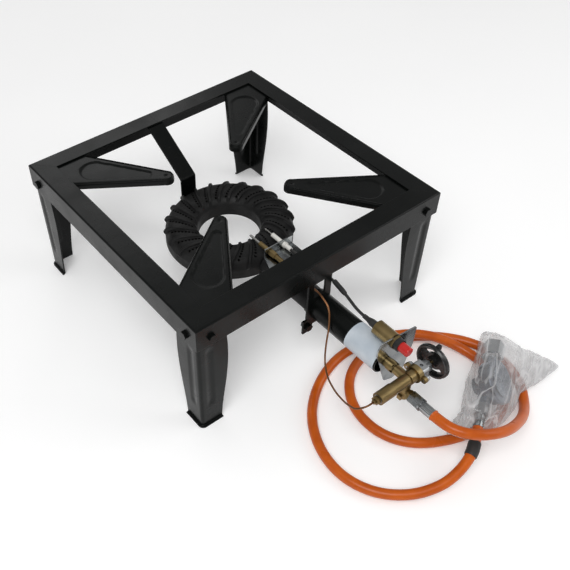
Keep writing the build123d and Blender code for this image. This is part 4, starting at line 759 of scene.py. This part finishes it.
def crumple(u, v, z):
    """How far the film stands out: broad creases and finer ones along the flow."""
    lift = FILM_LIFT
    for (along, across, up), shift, sharpness, height in CREASES:
        spot = Vector((u * along + shift, v * across, z * up))
        crease = 1 - abs(noise.noise(spot)) * sharpness
        lift += height * max(crease, 0) ** 2
    return lift * smooth_step(BAG_BOTTOM + CALM_FOOT[0], BAG_BOTTOM + CALM_FOOT[1], z)


def add_bag():
    """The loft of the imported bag, remeshed, softened and crumpled outward."""
    points, faces = [], []
    for low, high, z0, z1 in ((BAG_FOOT, BAG_SHOULDER, BAG_BOTTOM, BAG_MIDDLE),
                              (TENT_BASE, TENT_RIDGE, TENT_FOOT, BAG_TOP)):
        first, count = len(points), len(low)
        points += bag_ring(low, z0) + bag_ring(high, z1)
        faces += [tuple(first + k for k in f) for f in grid_faces(2, count, closed=True)]
        faces += [tuple(range(first, first + count)),
                  tuple(range(first + count, first + 2 * count))]
    mesh = bpy.data.meshes.new("bag")
    mesh.from_pydata([[v * MM for v in p] for p in points], [], faces)
    work = bmesh.new()
    work.from_mesh(mesh)
    bmesh.ops.recalc_face_normals(work, faces=work.faces)
    work.to_mesh(mesh)
    work.free()
    bag = bpy.data.objects.new("bag_film", mesh)
    bpy.context.scene.collection.objects.link(bag)
    remesh = bag.modifiers.new("voxels", "REMESH")
    remesh.mode, remesh.voxel_size = "VOXEL", BAG_VOXEL
    soften = bag.modifiers.new("soften", "SMOOTH")
    soften.factor, soften.iterations = SMOOTH_SHARE, SMOOTH_ROUNDS
    apply_modifiers(bag)
    mesh = bag.data
    moved = []
    for vertex in mesh.vertices:
        x, y, z = (c / MM for c in vertex.co)
        lift = crumple(x * FLOW_X + y * FLOW_Y, x * FLOW_Y - y * FLOW_X, z)
        moved.append(vertex.co + vertex.normal * lift * MM)
    for vertex, place in zip(mesh.vertices, moved):
        vertex.co = place
    return finish_piece(bag, "clear_film", ["regulator_bag"], SOFT_ANGLE)


# ------------------------------------------------------------------ gas hose
def route_line(curve):
    """Points along the middle of the hose, read from its own spline."""
    bare = curve.copy()
    bare.bevel_depth = 0
    ghost = bpy.data.objects.new("route", bare)
    bpy.context.scene.collection.objects.link(ghost)
    bpy.context.view_layer.update()
    graph = bpy.context.evaluated_depsgraph_get()
    mesh = bpy.data.meshes.new_from_object(ghost.evaluated_get(graph))
    line = [v.co.copy() for v in mesh.vertices]
    bpy.data.objects.remove(ghost)
    bpy.data.curves.remove(bare)
    return line


def add_sleeve(line):
    """The loose sleeve follows the hose."""
    back = list(reversed(line))
    lengths = [0.0]
    for p, q in zip(back, back[1:]):
        lengths.append(lengths[-1] + (q - p).length)
    spots = []
    rings, around = 14, 32
    for k in range(rings):
        goal = SLEEVE_SPAN[0] + (SLEEVE_SPAN[1] - SLEEVE_SPAN[0]) * k / (rings - 1)
        i = max(j for j, at in enumerate(lengths) if at <= goal)
        share = (goal - lengths[i]) / (lengths[i + 1] - lengths[i])
        spots.append(back[i].lerp(back[i + 1], share))
    points = []
    profile = [(k, SLEEVE_RADIUS - (SLEEVE_EDGE if k in (0, rings - 1) else 0.0))
               for k in range(rings)]
    profile += [(k, SLEEVE_BORE) for k in reversed(range(rings))]
    for k, r in profile:
        ahead = (spots[min(k + 1, rings - 1)] - spots[max(k - 1, 0)]).normalized()
        side = ahead.cross(Vector((0, 0, 1))).normalized()
        up = side.cross(ahead)
        for j in range(around):
            turn = 2 * math.pi * j / around
            spot = spots[k] / MM + (side * math.cos(turn) + up * math.sin(turn)) * r
            points.append(tuple(spot))
    return add_piece("sleeve_loose", points, ring_faces(len(profile), around), "black_rubber",
                     ["hose_sleeve"])


def add_hose():
    curve = bpy.data.curves.new("hose", "CURVE")
    curve.dimensions = "3D"
    curve.resolution_u = 12
    spline = curve.splines.new("NURBS")
    spline.points.add(len(HOSE_POINTS_MM) - 1)
    for point, place in zip(spline.points, HOSE_POINTS_MM):
        point.co = (*(v * MM for v in place), 1)
    spline.order_u = 3
    spline.use_endpoint_u = True
    line = route_line(curve)
    curve.bevel_depth = HOSE_DIAMETER / 2
    curve.bevel_resolution = 8
    curve.use_fill_caps = True
    hose = bpy.data.objects.new("hose", curve)
    bpy.context.scene.collection.objects.link(hose)
    curve.materials.append(made["orange_hose"])
    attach(hose, "stand")
    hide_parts("gas_hose")
    skin = HOSE_DIAMETER / MM / 2
    lip = add_turned("hose_lip", Vector(HOSE_POINTS_MM[0]), Vector((0, -1, 0)),
                     [(along, skin + out) for along, out in HOSE_LIP], "orange_hose")
    add_sleeve(line)
    add_bag()


add_camera()
add_studio()
made = dress_nodes()
add_legs()
add_supports()
add_strap()
add_lead_boot()
add_springs()
add_burner_cap()
add_hose()

bpy.context.scene.view_settings.view_transform = "Standard"
